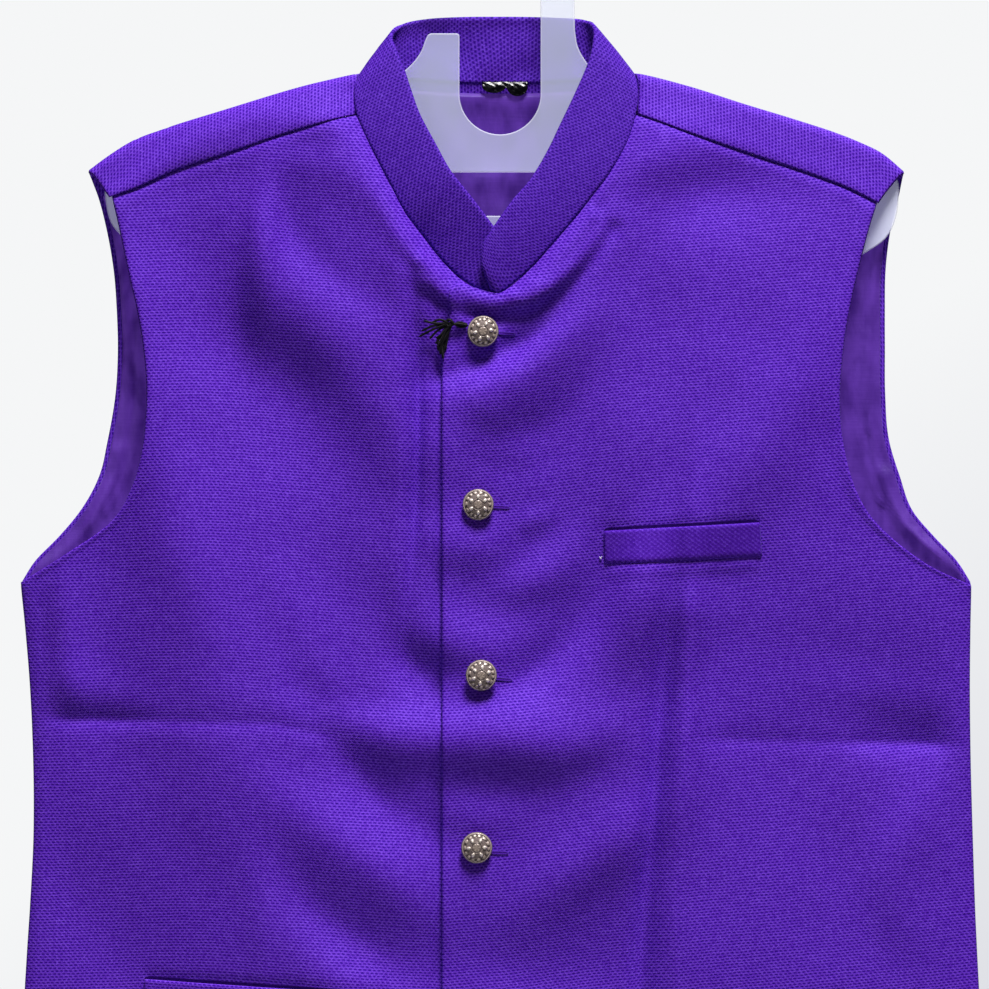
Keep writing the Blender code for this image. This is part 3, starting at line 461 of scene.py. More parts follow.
def swell_sum(swells, x, z):
    """Height of the long soft swells, each with a bent middle line and fading on all sides."""
    total = np.zeros(np.shape(x))
    for _, middle_x, middle_z, slant, half_length, half_width, sag, height in swells:
        turn = math.radians(slant)
        right, down = x - middle_x, middle_z - z
        lengthwise = (right * math.cos(turn) + down * math.sin(turn)) / half_length
        across = down * math.cos(turn) - right * math.sin(turn) + sag * (lengthwise**2 - 0.5)
        total += height * np.exp(-(lengthwise**2) - (across / half_width) ** 2)
    return total


def crease_sum(creases, x, z):
    """Pressed lines: sharp at the line, easing off over a different width on each side."""
    total = np.zeros(np.shape(x))
    for _, left_width, right_width, depth, *points in creases:
        distance, side, end = nearest(points, x, z)
        width = np.where(side > 0, left_width, right_width)
        eased = np.hypot(distance, CREASE_ROUND) - CREASE_ROUND
        total += depth * np.exp(-eased / width) * smooth(end / CREASE_FADE)
    return total


def drop_below_fold(x, z):
    return np.maximum(along(RIDGE, x) - z, 0.0)


def shoulder_round(drop):
    turn = 1.0 - np.clip(drop / SHOULDER_ROUND, 0.0, 1.0)
    start, end = ROUND_FADE
    fade = 1.0 - smooth((drop - start) / (end - start))
    return SHOULDER_ROUND * np.sqrt(1.0 - turn**2) * fade, fade


def ripple(x, z, seed, count=14, shortest=26.0, longest=110.0):
    """A faint unevenness from a few long waves, the same on each run."""
    draw = np.random.RandomState(seed)
    total = np.zeros(np.shape(x))
    for _ in range(count):
        length, heading, phase = draw.uniform(shortest, longest), draw.uniform(0, math.pi), draw.uniform(0, 2 * math.pi)
        total += length / longest * np.sin(2 * math.pi / length * (x * math.cos(heading) + z * math.sin(heading)) + phase)
    return total / math.sqrt(count)


def collar_distance(x, z):
    return np.minimum(*(nearest(seam, x, z)[0] for seam in COLLAR_SEAMS))


def held_by_collar(x, z):
    """0 at the collar's seam, which holds the cloth to its shape, and 1 away from it."""
    return 1.0 - np.exp(-((collar_distance(x, z) / SEAM_HOLD) ** 2))


def collar_sink(x, z):
    """How far the cloth dips beside the collar's seam."""
    return COLLAR_SINK * np.exp(-((collar_distance(x, z) / COLLAR_SINK_RUN) ** 2))


def open_side(x, z):
    """One away from the side seams and nearly nothing at them, where front and back come together."""
    near = np.exp(-(((1.0 - side_share(x, z)) / SIDE_JOIN) ** 2))
    return 1.0 - SIDE_MEET * near * smooth((BACK_ARMHOLE[0][0] - z) / 8.0)


def front_y(x, z):
    """Middle of the front's wall."""
    x, z = np.broadcast_arrays(np.asarray(x, float), np.asarray(z, float))
    drop = drop_below_fold(x, z)
    turn, fade = shoulder_round(drop)
    share = side_share(x, z)
    dome = (1.0 - share**DOME_POWER) * (1.0 - np.exp(-drop / FRONT_SETTLE))
    soft = smooth((1.0 - share) / FOLD_EDGE)
    swells = swell_sum(FRONT_SWELLS, x, z) * held_by_collar(x, z)
    folds = fold_sum(FRONT_FOLDS, x, z) + crease_sum(FRONT_CREASES, x, z) - swells
    uneven = 0.5 * ripple(x, z, 3) * smooth(drop / 60.0) * soft
    return folds * soft + uneven - turn - along(DEPTHS, z, 1) * dome - SIDE_FRONT * (1.0 - fade) * open_side(x, z)


def back_y(x, z):
    """Middle of the back's wall."""
    x, z = np.broadcast_arrays(np.asarray(x, float), np.asarray(z, float))
    drop = drop_below_fold(x, z)
    turn, fade = shoulder_round(drop)
    share = side_share(x, z)
    dome = (1.0 - share**DOME_POWER) * (1.0 - np.exp(-drop / BACK_SETTLE))
    near_neck = np.clip(1.0 - (x / NECK_REACH) ** 2, 0.0, 1.0) ** 2
    bump = NECK_BUMP * near_neck * np.exp(-drop / 80.0)
    soft = smooth((1.0 - share) / FOLD_EDGE)
    folds = (fold_sum(BACK_FOLDS, x, z) + crease_sum(BACK_CREASES, x, z)) * soft
    uneven = 0.5 * ripple(x, z, 5) * smooth(drop / 60.0) * soft
    return turn + along(DEPTHS, z, 2) * dome + bump + SIDE_BACK * (1.0 - fade) * open_side(x, z) - folds - uneven


def beneath_lap(x):
    """How far the layers under the lap step back."""
    return UNDERLAP * smooth((x - UNDERLAP_FROM) / UNDERLAP_RUN)


# Materials


def linear(red, green, blue):
    """A shader colour from one given as 0 to 255 on a screen."""
    parts = [c / 255.0 for c in (red, green, blue)]
    return tuple(c / 12.92 if c <= 0.04045 else ((c + 0.055) / 1.055) ** 2.4 for c in parts) + (1.0,)


class Look:
    """A material and short ways to add nodes to it."""

    def __init__(self, name, **sockets):
        self.material = bpy.data.materials.new(name)
        self.material.use_nodes = True
        self.tree = self.material.node_tree
        self.surface = self.tree.nodes["Principled BSDF"]
        self.set(self.surface, sockets)

    def set(self, node, values):
        for key, value in values.items():
            key = key.replace("_", " ") if isinstance(key, str) else key
            if isinstance(value, bpy.types.NodeSocket):
                self.tree.links.new(value, node.inputs[key])
            else:
                node.inputs[key].default_value = value

    def add(self, kind, values, **settings):
        node = self.tree.nodes.new("ShaderNode" + kind)
        for key, value in settings.items():
            setattr(node, key, value)
        self.set(node, values)
        return node

    def math(self, operation, *values):
        return self.add("Math", dict(enumerate(values)), operation=operation).outputs[0]

    def flat(self):
        return self.add("UVMap", {}, uv_map="flat").outputs[0]

    def place(self):
        return self.add("TexCoord", {}).outputs["Object"]

    def split(self, vector):
        return self.add("SeparateXYZ", {0: vector}).outputs

    def noise(self, vector, scale, detail=2.0, output=0, roughness=0.5):
        values = {"Vector": vector, "Scale": scale, "Detail": detail, "Roughness": roughness}
        return self.add("TexNoise", values).outputs[output]

    def stretched(self, vector, scale):
        return self.add("Mapping", {"Vector": vector, "Scale": scale}).outputs[0]

    def ramp(self, factor, *stops):
        node = self.add("ValToRGB", {0: factor})
        elements = node.color_ramp.elements
        while len(elements) < len(stops):
            elements.new(1.0)
        for element, (position, colour) in zip(elements, stops):
            element.position, element.color = position, colour
        return node.outputs[0]

    def mix(self, factor, first, second, blend="MIX"):
        values = {0: factor, 6: first, 7: second}
        return self.add("Mix", values, data_type="RGBA", blend_type=blend).outputs[2]

    def bump(self, height, distance, strength=1.0, normal=None):
        values = {"Height": height, "Distance": distance, "Strength": strength}
        if normal is not None:
            values["Normal"] = normal
        node = self.add("Bump", values)
        self.set(self.surface, {"Normal": node.outputs[0]})
        return node.outputs[0]


def wave(look, position, period, kind="COSINE"):
    return look.math(kind, look.math("MULTIPLY", position, 2.0 * math.pi / period))


HOPSACK_U = 2.68 * MM
HOPSACK_V = 3.32 * MM
LEAN_LEAST = -0.8
LEAN_SPREAD = 1.2


def hopsack(name, dark, middle, light, rows=1.0, depth=1.0):
    """Coarse basket weave: short floats with dark pits between them, each row of pits half a step along."""
    look = Look(name, Specular_IOR_Level=0.1, Sheen_Weight=0.06, Sheen_Roughness=0.4)
    look.set(look.surface, {"Sheen Tint": (0.45, 0.3, 1.0, 1.0)})
    flat = look.flat()
    wander = look.split(look.noise(flat, 130.0, output=1))
    u, v, _ = look.split(flat)
    u = look.math("MULTIPLY_ADD", look.math("SUBTRACT", wander[0], 0.5), 0.0014, u)
    v = look.math("MULTIPLY_ADD", look.math("SUBTRACT", wander[1], 0.5), 0.0008, v)
    lean = look.math("MULTIPLY_ADD", look.noise(flat, 11.0, 1.0), LEAN_SPREAD, LEAN_LEAST)
    crossing = look.math("MULTIPLY", wave(look, u, HOPSACK_U), wave(look, v, HOPSACK_V))
    beside = look.math("MULTIPLY", wave(look, u, HOPSACK_U, "SINE"), wave(look, v, HOPSACK_V, "SINE"))
    step = look.math("MULTIPLY_ADD", beside, lean, crossing)
    row = look.math("MULTIPLY_ADD", wave(look, v, HOPSACK_V / 2.0), 0.5, 0.5)
    wide = look.math("POWER", look.math("MULTIPLY_ADD", step, -0.5, 0.5), 0.85)
    narrow = look.math("MULTIPLY_ADD", look.math("POWER", row, 1.3), rows, 1.0 - rows)
    even = look.noise(look.stretched(flat, (260.0, 560.0, 1.0)), 1.0, 2.0)
    pit = look.math("MULTIPLY", look.math("MULTIPLY", wide, narrow), look.math("MULTIPLY_ADD", even, 1.2, 0.4))
    lifted = look.math("POWER", look.math("MULTIPLY_ADD", step, 0.5, 0.5), 1.6)
    between = look.math("POWER", look.math("SUBTRACT", 1.0, row), 1.6)
    top = look.math("MULTIPLY_ADD", between, 0.4 * rows, look.math("MULTIPLY", lifted, 1.0 - 0.4 * rows))
    slub = look.noise(look.stretched(flat, (90.0, 640.0, 1.0)), 1.0, 1.0)
    warp = look.noise(look.stretched(flat, (520.0, 90.0, 1.0)), 1.0, 1.0)
    mottle = look.noise(flat, 460.0, 0.0)
    fuzz = look.noise(flat, 1300.0, 2.0)
    patch = look.noise(flat, 14.0, 2.0)
    level = look.math("MULTIPLY_ADD", pit, -0.66 * depth, 0.63)
    level = look.math("MULTIPLY_ADD", look.math("SUBTRACT", top, 0.3), 0.22 * depth, level)
    for layer, share in ((slub, 0.24), (warp, 0.2), (mottle, 0.16), (fuzz, 0.7), (patch, 0.04)):
        level = look.math("MULTIPLY_ADD", look.math("SUBTRACT", layer, 0.5), share, level)
    colour = look.ramp(level, (0.0, dark), (0.5, middle), (1.0, light))
    look.set(look.surface, {"Base Color": colour})
    look.set(look.surface, {"Roughness": look.math("MULTIPLY_ADD", level, -0.15, 0.75)})
    look.bump(level, 0.00035, 0.5)
    return look.material


# Painted glow of the lining: an emission that lights its shaded inside, standing in for light that does not reach it
LINING_PAINTED_GLOW = 0.38


def satin(name, dark, light, dim, glow):
    """Smooth lining cloth, fine and even, with soft pressed wrinkles and a painted glow, brighter on the crumples, that
    stands in for light in its shaded inside.
    """
    look = Look(name, Specular_IOR_Level=0.2, Sheen_Weight=0.1, Sheen_Roughness=0.4)
    look.set(look.surface, {"Sheen Tint": (0.6, 0.45, 1.0, 1.0), "Emission Strength": LINING_PAINTED_GLOW})
    flat = look.flat()
    u, v, _ = look.split(flat)
    fine = look.math("MULTIPLY", wave(look, u, 0.5 * MM), wave(look, v, 0.42 * MM))
    thread = look.noise(look.stretched(flat, (60.0, 1400.0, 1.0)), 1.0, 1.0)
    crumple = look.noise(look.stretched(flat, (110.0, 42.0, 1.0)), 1.0, 3.0)
    cloud = look.noise(flat, 30.0, 2.0)
    level = look.math("MULTIPLY_ADD", look.math("SUBTRACT", thread, 0.5), 0.5, cloud)
    look.set(look.surface, {"Base Color": look.ramp(level, (0.25, dark), (0.75, light))})
    # Painted glow: the emission colour runs from the low tone to the bright one over the crumples
    look.set(look.surface, {"Emission Color": look.ramp(crumple, (0.34, dim), (0.62, glow))})
    look.set(look.surface, {"Roughness": look.math("MULTIPLY_ADD", thread, 0.12, 0.46)})
    soft = look.bump(crumple, 0.0016, 0.5)
    look.bump(look.math("MULTIPLY_ADD", fine, 0.2, thread), 0.00008, 0.5, soft)
    return look.material


SHELL = hopsack("shell_cloth", linear(44, 0, 134), linear(80, 24, 168), linear(130, 80, 228))
# The collar's tones are darker than the body cloth's: painted shade for the shade the collar lies in; its fainter rows
# are the bias-cut weave
COLLAR_SHADED_SHELL = hopsack("collar_cloth_painted_shade", linear(36, 0, 116), linear(70, 20, 154), linear(120, 74, 216), 0.8)
WELT_SHELL = hopsack("welt_cloth", linear(42, 0, 126), linear(73, 20, 158), linear(118, 70, 216), 0.15, 0.4)
LINING = satin("lining_satin", linear(58, 24, 112), linear(78, 41, 136), linear(60, 26, 118), linear(104, 60, 178))

# Cloth pieces

EDGE_STEPS = np.array((0.0, 0.9, 2.2, 4.0))


def edged(count, length):
    """Positions from 0 to 1 along a length in millimetres, close together near both ends."""
    ends = EDGE_STEPS / length
    middle = np.linspace(ends[..., -1], 1.0 - ends[..., -1], count + 1 - 2 * (len(EDGE_STEPS) - 1), axis=-1)
    return np.concatenate([ends[..., :-1], middle, 1.0 - ends[..., -2::-1]], axis=-1)


def shell(name, grid, flat, outer, inner, materials, facing=1.0, keep=None):
    """A closed cloth wall round a grid of points, its edges drawn to a thin rounded rim."""
    rows, columns = grid.shape[:2]
    normal = np.cross(np.gradient(grid, axis=0), np.gradient(grid, axis=1)) * facing
    normal /= np.maximum(np.linalg.norm(normal, axis=-1, keepdims=True), 1e-9)
    if keep is None:
        keep = np.ones((rows - 1, columns - 1), bool)
    touching = np.zeros((rows, columns), int)
    for row, column in ((0, 0), (0, 1), (1, 0), (1, 1)):
        touching[row : rows - 1 + row, column : columns - 1 + column] += keep
    used, inside = touching > 0, touching == 4
    outer = np.broadcast_to(outer, inside.shape) * inside
    inner = np.broadcast_to(inner, inside.shape) * inside
    front, rear = grid + normal * outer[..., None], grid - normal * inner[..., None]
    number = np.cumsum(used).reshape(used.shape) - 1
    behind = np.where(inside, used.sum() + np.cumsum(inside).reshape(inside.shape) - 1, number)
    points = np.concatenate([front[used], rear[inside]]) * MM
    places = np.concatenate([flat[used], flat[inside]]) * MM
    row, column = np.nonzero(keep)
    ring = [(row, column), (row + 1, column), (row + 1, column + 1), (row, column + 1)][:: int(facing)]
    outside = np.stack([number[corner] for corner in ring], axis=-1)
    lining = np.stack([behind[corner] for corner in ring[::-1]], axis=-1)
    faces = np.concatenate([outside, lining])
    mesh = bpy.data.meshes.new(name)
    mesh.from_pydata(points.tolist(), [], faces.tolist())
    for material in materials:
        mesh.materials.append(material)
    index = np.zeros(len(faces), np.int32)
    index[len(outside) :] = len(materials) - 1
    mesh.polygons.foreach_set("material_index", index)
    mesh.polygons.foreach_set("use_smooth", np.ones(len(faces), bool))
    corners = np.zeros(len(mesh.loops), np.int32)
    mesh.loops.foreach_get("vertex_index", corners)
    mesh.uv_layers.new(name="flat").uv.foreach_set("vector", places[corners].astype(np.float32).ravel())
    mesh.update()
    made = bpy.data.objects.new(name, mesh)
    bpy.context.scene.collection.objects.link(made)
    return made


def finish_piece(made, slot, *nodes):
    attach(made, "root")
    if nodes:
        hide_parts(*nodes)
    return made


FRONT_ROWS = 300
FRONT_COLUMNS = 118

# Run of the weave on each front: slope of the rows across (x, degrees) and lean of the columns down (z, degrees)
GRAIN_RIGHT = (
    ((-243.6, -1.8), (-197.2, -2.4), (-174.0, 0.0), (-150.8, 3.0), (-104.4, 4.0), (-58.0, 3.2), (-34.8, 3.0)),
    ((-577.0, -0.8), (-391.5, 0.0), (-298.7, 0.5), (-206.0, 1.0), (-159.5, 5.2)),
)
GRAIN_LEFT = (
    ((-34.8, -5.0), (-11.6, -5.0), (34.8, -8.0), (81.2, -5.5), (220.4, -5.5)),
    ((-577.0, -0.5), (-484.0, -1.5), (-391.5, -2.0), (-345.0, -1.0), (-298.7, -3.9), (-229.0, -2.0), (-159.5, -4.5)),
)
GRAIN_STEP = 2.0


def turned(x, z, angle):
    """Places on the flat cloth for a grain that is turned by an angle."""
    return np.stack([x * math.cos(angle) - z * math.sin(angle), z * math.cos(angle) + x * math.sin(angle)], axis=-1)


def drift(table, places):
    """Sideways shift that a run of small slopes adds up to."""
    steps = np.arange(-820.0, 320.0, GRAIN_STEP)
    total = np.cumsum(np.tan(np.radians(along(table, steps)))) * GRAIN_STEP
    return np.interp(places, steps, total)


def woven(x, z, grain):
    """Places on the flat cloth where its rows and columns wander."""
    slopes, leans = grain
    return np.stack([x - drift(leans, z), z + drift(slopes, x)], axis=-1)


def edge_puff(length_across, share, amount=0.35):
    """Extra thickness of the turned-in allowance along an edge."""
    distance = np.minimum(share, 1.0 - share) * length_across
    return amount * smooth(distance / 1.5) * (1.0 - smooth((distance - 6.0) / 4.0))


def front_piece(name, sections, edge_x, levels, corner, side_column, underlap, grain):
    rows = [row[1:] for row in sections]
    rows += [(edge_x, level, float(along(SIDES, level, side_column)), level) for level in levels]
    rows += [(x, z, float(along(SIDES, z, side_column)), z) for x, z in corner]
    dense = np.linspace(0.0, len(rows) - 1.0, 60 * len(rows))
    corner_row = len(sections) - 1
    track = cornered(rows, corner_row, dense)
    step = np.diff(track, axis=0)
    run = np.concatenate([[0.0], np.cumsum(np.hypot(step[:, 0], step[:, 1]) + np.hypot(step[:, 2], step[:, 3])) / 2])
    down = edged(FRONT_ROWS, run[-1])
    places = np.interp(down * run[-1], run, dense)
    edge_x, edge_z, side_x, side_z = (cornered(rows, corner_row, places)[:, k][:, None] for k in range(4))
    width = np.hypot(side_x - edge_x, side_z - edge_z)
    share = edged(FRONT_COLUMNS, width)
    x = edge_x + (side_x - edge_x) * share
    z = edge_z + (side_z - edge_z) * share
    seam_rise = along(SHOULDER_SEAM, x[0]) + SEAM_LAP - z[0]
    z = z + seam_rise * np.clip(1.0 - places / SEAM_REACH, 0.0, 1.0)[:, None]
    y = front_y(x, z) + fold_sum(POCKET_FOLDS, x, z) + (beneath_lap(x) if underlap else 0.0)
    y = y + SEAM_SINK * np.exp(-((down[:, None] * run[-1] / 4.0) ** 2))
    y = y + collar_sink(x, z)
    puff = np.maximum(edge_puff(width, share), edge_puff(run[-1], down[:, None]))
    facing = -1.0 if underlap else 1.0
    grid = np.stack([x, y, z], axis=-1)
    flat = woven(x, z, grain)
    made = shell(name, grid, flat, FRONT_WALL / 2 + puff, FRONT_WALL / 2 * open_side(x, z), (SHELL, LINING), facing)
    return made


right = front_piece("cloth_front_right", RIGHT_SECTIONS, RIGHT_EDGE_X, RIGHT_LEVELS, RIGHT_HEM_CORNER, 1, True, GRAIN_RIGHT)
left = front_piece("cloth_front_left", LEFT_SECTIONS, LEFT_EDGE_X, LEFT_LEVELS, LEFT_HEM_CORNER, 2, False, GRAIN_LEFT)
finish_piece(right, "shell_cloth", "front_right")
finish_piece(left, "shell_cloth", "front_left")


def face_y(x, z):
    """Outer face of the wearer's left front."""
    return front_y(x, z) - FRONT_WALL / 2


SEAM_RIM = (0.0, 0.22, 0.45, 0.65)
SHOULDER_CELLS = 62
NECK_CELLS = 58
TURN_STEPS = 9
STRIP_STEPS = 12
BACK_ROWS = 216
STRIP_SLOPE = 1.24
BACK_LOOSE = 1.13


def back_edge(z):
    """The back's outer edges at a height on each side: armholes above the underarm, sides below."""
    underarm = BACK_ARMHOLE[0][0]
    right = np.where(z > underarm, along(BACK_ARMHOLE, z, 1), along(SIDES, z, 1))
    left = np.where(z > underarm, along(BACK_ARMHOLE, z, 2), along(SIDES, z, 2))
    return right, left


def spread(right_tip, right_neck, left_neck, left_tip):
    """x of each column across the two shoulders and the neck between them."""
    tip = EDGE_STEPS[:-1]
    right = np.concatenate([right_tip + tip, np.linspace(right_tip + EDGE_STEPS[-1], right_neck, SHOULDER_CELLS - 2)])
    neck = np.linspace(right_neck, left_neck, NECK_CELLS + 1)
    left = np.concatenate([np.linspace(left_neck, left_tip - EDGE_STEPS[-1], SHOULDER_CELLS - 2), left_tip - tip[::-1]])
    return np.concatenate([right, neck[1:-1], left])


def back_points():
    """Points of the back, from the forward shoulder seam over the fold and down to the hem, and their flat places."""
    turn = SHOULDER_ROUND * (1.0 - np.cos(np.linspace(math.pi / 2, 0.0, TURN_STEPS)))
    seam, under, fold = (np.array(ends) for ends in (STRIP_SEAM, STRIP_UNDER, STRIP_FOLD))
    rows, depth = [], []
    seam_x = spread(*seam)
    seam_drop = along(RIDGE, seam_x) - along(SHOULDER_SEAM, seam_x) + SEAM_LAP
    for share in edged(STRIP_STEPS, 20.0)[:-3]:
        x = spread(*(seam + (under - seam) * share))
        drop = seam_drop + (SHOULDER_ROUND - seam_drop) * share
        step = SEAM_STEP * math.exp(-((share / 0.3) ** 2))
        z = along(RIDGE, x) - drop
        rows.append((x, front_y(x, z) - step + collar_sink(x, z), z))
        depth.append(drop)
    for drop in turn:
        x = spread(*(fold + (under - fold) * drop / SHOULDER_ROUND))
        rows.append((x, front_y(x, along(RIDGE, x) - drop), along(RIDGE, x) - drop))
        depth.append(np.full(len(x), drop))
    strip_rows = len(rows)
    fold_x, _, fold_z = rows[-1]
    right_neck, left_neck = NECK_SIDES
    neck = (fold_x > right_neck + 0.01) & (fold_x < left_neck - 0.01)
    bend = 1.0 - (2.0 * (fold_x - right_neck) / (left_neck - right_neck) - 1.0) ** 2
    seam_z = NECK_SEAM_SIDE + (NECK_SEAM_MIDDLE - NECK_SEAM_SIDE) * bend
    top_z = np.where(neck, seam_z, fold_z)
    rows[-1] = (fold_x, np.where(neck, back_y(fold_x, top_z), 0.0), top_z)
    ease = np.where(neck, NECK_EASE * np.minimum(3.0 * bend, 1.0), 0.0)
    length = top_z - HEM_Z
    drops = np.concatenate([turn[-2::-1], SHOULDER_ROUND + (length.mean() - SHOULDER_ROUND) * edged(BACK_ROWS, 680.0)[4:]])
    for drop in drops:
        z = top_z - length * (drop / length.mean()) * (1.0 - ease * math.exp(-drop / NECK_EASE_RUN))
        edge_right, edge_left = back_edge(z[0])[0], back_edge(z[-1])[1]
        x = np.where(fold_x < 0, fold_x * edge_right / fold_x[0], fold_x * edge_left / fold_x[-1])
        rows.append((x, back_y(x, z), z))
        depth.append(-(top_z - z))
    grid = np.stack([np.stack(row, axis=-1) for row in rows])
    depth = np.stack(depth)
    turning = strip_rows - TURN_STEPS
    beside = grid[turning:, SHOULDER_CELLS // 2]
    longer = np.hypot(np.diff(beside[:, 1]), np.diff(beside[:, 2])) + np.diff(depth[turning:, SHOULDER_CELLS // 2])
    depth[turning + 1 :] -= np.cumsum(longer)[:, None]
    slope = np.where(depth > 0, STRIP_SLOPE, 1.0)
    return grid, np.stack([depth * slope, grid[..., 0] / BACK_LOOSE], axis=-1), strip_rows


back, back_flat, strip_rows = back_points()
keep = np.ones((back.shape[0] - 1, back.shape[1] - 1), bool)
keep[: strip_rows - 1, SHOULDER_CELLS : SHOULDER_CELLS + NECK_CELLS] = False
back_wall = np.full((back.shape[0], 1), BACK_WALL / 2)
back_wall[: len(SEAM_RIM), 0] = SEAM_RIM
back_inner = BACK_WALL / 2 * open_side(back[..., 0], back[..., 2])
back_piece = shell("cloth_back", back, back_flat, back_wall, back_inner, (SHELL,), -1.0, keep)
finish_piece(back_piece, "shell_cloth", "back")

# Folds of the lining towards the hanger: name, width, depth, points x, z
LINING_FOLDS = (
    ("neck band", 7.5, 2.2, (-62.0, -94.0), (-22.0, -100.0), (8.0, -103.5), (30.0, -103.0), (64.0, -95.0)),
    ("bar fold", 7.0, 2.0, (-26.0, -150.0), (20.0, -146.0)),
    ("bar tuck", 4.0, 1.4, (-6.0, -164.0), (16.0, -176.0)),
    ("right armhole band", 2.6, 1.6, (-220.0, -190.0), (-215.0, -262.0), (-221.0, -316.0), (-240.0, -352.0)),
    ("right armhole inner band", 2.0, 1.2, (-211.0, -206.0), (-208.5, -272.0), (-214.0, -312.0), (-230.0, -344.0)),
    ("right armhole bag", 4.0, 2.0, (-270.0, -376.0), (-252.0, -364.0), (-236.0, -346.0), (-226.0, -320.0), (-222.0, -298.0)),
    ("left armhole band", 2.2, 1.7, (218.0, -186.0), (213.0, -256.0), (217.0, -308.0), (232.0, -346.0), (254.0, -366.0)),
    ("left armhole inner band", 1.8, 1.3, (208.0, -204.0), (206.0, -258.0), (210.0, -306.0), (222.0, -338.0)),
    ("left armhole tuck", 1.6, 1.1, (212.0, -232.0), (210.0, -268.0), (215.0, -296.0)),
    ("left armhole bag", 4.2, 2.3, (222.0, -312.0), (231.0, -340.0), (244.0, -357.0), (258.0, -369.0), (269.0, -378.0)),
)
LINING_INSET = 2.8
LINING_FROM = 9
first = strip_rows + LINING_FROM
lining_grid = back[first:, :, :].copy()
inset = np.where(lining_grid[:, :, 2] > BACK_ARMHOLE[0][0], LINING_INSET, 8.0)
reach_right, reach_left = lining_grid[:, :1, 0], lining_grid[:, -1:, 0]
lining_grid[..., 0] *= np.where(
    lining_grid[..., 0] < 0, 1.0 + inset / reach_right, 1.0 - inset / reach_left
)
lining_grid[..., 2] += 9.0 * smooth((HEM_Z + 60.0 - lining_grid[..., 2]) / 60.0)
lining_x, lining_z = lining_grid[..., 0], lining_grid[..., 2]
hang = smooth((drop_below_fold(lining_x, lining_z) - 8.0) / 30.0)
puckers = fold_sum(LINING_FOLDS, lining_x, lining_z) + 0.5 * (1.0 + ripple(lining_x, lining_z, 11, 18, 9.0, 60.0)) * hang
lining_grid[..., 1] = back_y(lining_x, lining_z) - BACK_WALL / 2 - SEAM_GAP - LINING_WALL / 2 - 0.15 - np.maximum(puckers, 0.0)
lining_flat = np.stack([lining_x, lining_z], axis=-1)
lining_piece = shell("cloth_lining", lining_grid, lining_flat, LINING_WALL / 2, LINING_WALL / 2, (LINING,))
finish_piece(lining_piece, "lining", "back_lining")

COLLAR_UNEVEN = 1.6
COLLAR_SKEW = 0.32
COLLAR_CELLS = 250
COLLAR_ROWS = 20


def collar_piece():
    rows = []
    for _, seam_x, seam_z, face, edge_x, edge_z, edge_y in COLLAR_STATIONS:
        seam_y = 0.0
        if face == "back":
            seam_y = float(back_y(seam_x, seam_z))
        elif face != "fold":
            step = float(beneath_lap(seam_x)) if face == "under" else 0.0
            seam_y = float(front_y(seam_x, seam_z)) + step
        rows.append((seam_x, seam_y, seam_z, edge_x, edge_y, edge_z))
    dense = np.linspace(0.0, len(rows) - 1.0, 3000)
    track = through(rows, dense)
    middle = (track[:, :3] + track[:, 3:]) / 2
    run = np.concatenate([[0.0], np.cumsum(np.linalg.norm(np.diff(middle, axis=0), axis=1))])
    places = edged(COLLAR_CELLS, run[-1])
    cut = through(rows, np.interp(places * run[-1], run, dense))
    share = COLLAR_SEAM_SHARE + (1.0 - COLLAR_SEAM_SHARE) * edged(COLLAR_ROWS, 35.0)[None, :, None]
    seam, edge = cut[:, None, :3], cut[:, None, 3:]
    grid = seam + (edge - seam) * share
    middle = cut[:, :3] + cut[:, 3:]
    outward = np.stack([middle[:, 0], middle[:, 1] * 3.0, np.zeros(len(middle))], axis=-1)
    outward /= np.linalg.norm(outward, axis=1, keepdims=True)
    width = np.linalg.norm(edge - seam, axis=-1)
    u = np.broadcast_to((places * run[-1])[:, None], grid.shape[:2])
    v = width * share[..., 0]
    uneven = COLLAR_UNEVEN * ripple(u, v, 31, 12, 16.0, 52.0) * smooth((grid[..., 1] - 2.0) / 8.0)
    bow = (COLLAR_BOW + uneven[..., None]) * 4.0 * share * (1.0 - share)
    grid = grid + outward[:, None, :] * bow
    flat = np.stack([v, u + COLLAR_SKEW * np.tanh(grid[..., 0] / 30.0) * v], axis=-1)
    return shell("cloth_collar", grid, flat, COLLAR_WALL / 2, COLLAR_WALL / 2, (COLLAR_SHADED_SHELL,), -1.0)


collar = finish_piece(collar_piece(), "shell_cloth", "collar")


def welt_piece(name, corners, angle):
    top_in, top_out, bottom_out, bottom_in = (np.array(corner) for corner in corners)
    length, height = np.linalg.norm(top_out - top_in), np.linalg.norm(bottom_in - top_in)
    across = edged(int(length / 1.6), length)[None, :, None]
    down = edged(int(height / 1.2), height)[:, None, None]
    top, bottom = top_in + (top_out - top_in) * across, bottom_in + (bottom_out - bottom_in) * across
    place = top + (bottom - top) * down
    x, z = place[..., 0], place[..., 1]
    rest = face_y(x, z) + (beneath_lap(x) if x.mean() < 0 else 0.0)
    lift = WELT_REST + (REST_GAP + WELT_WALL / 2 - WELT_REST) * smooth((1.0 - down[..., 0]) * height / WELT_TUCK)
    y = rest - lift
    facing = 1.0 if top_out[0] > top_in[0] else -1.0
    grid = np.stack([x, y, z], axis=-1)
    cloth, flat = (WELT_SHELL, turned(z, x, angle)) if "chest" in name else (SHELL, turned(x, z, angle))
    return shell(name, grid, flat, WELT_WALL / 2, WELT_WALL / 2, (cloth,), facing)


def hip_welt_corners(start, towards):
    """Corners of a hip welt whose line falls towards the middle of the jacket."""
    start = np.array(start)
    run = HIP_WELT_LENGTH * np.array((towards * math.cos(HIP_WELT_SLOPE), -math.sin(HIP_WELT_SLOPE)))
    fall = HIP_WELT_HEIGHT * np.array((-towards * math.sin(HIP_WELT_SLOPE), -math.cos(HIP_WELT_SLOPE)))
    return start, start + run, start + run + fall, start + fall


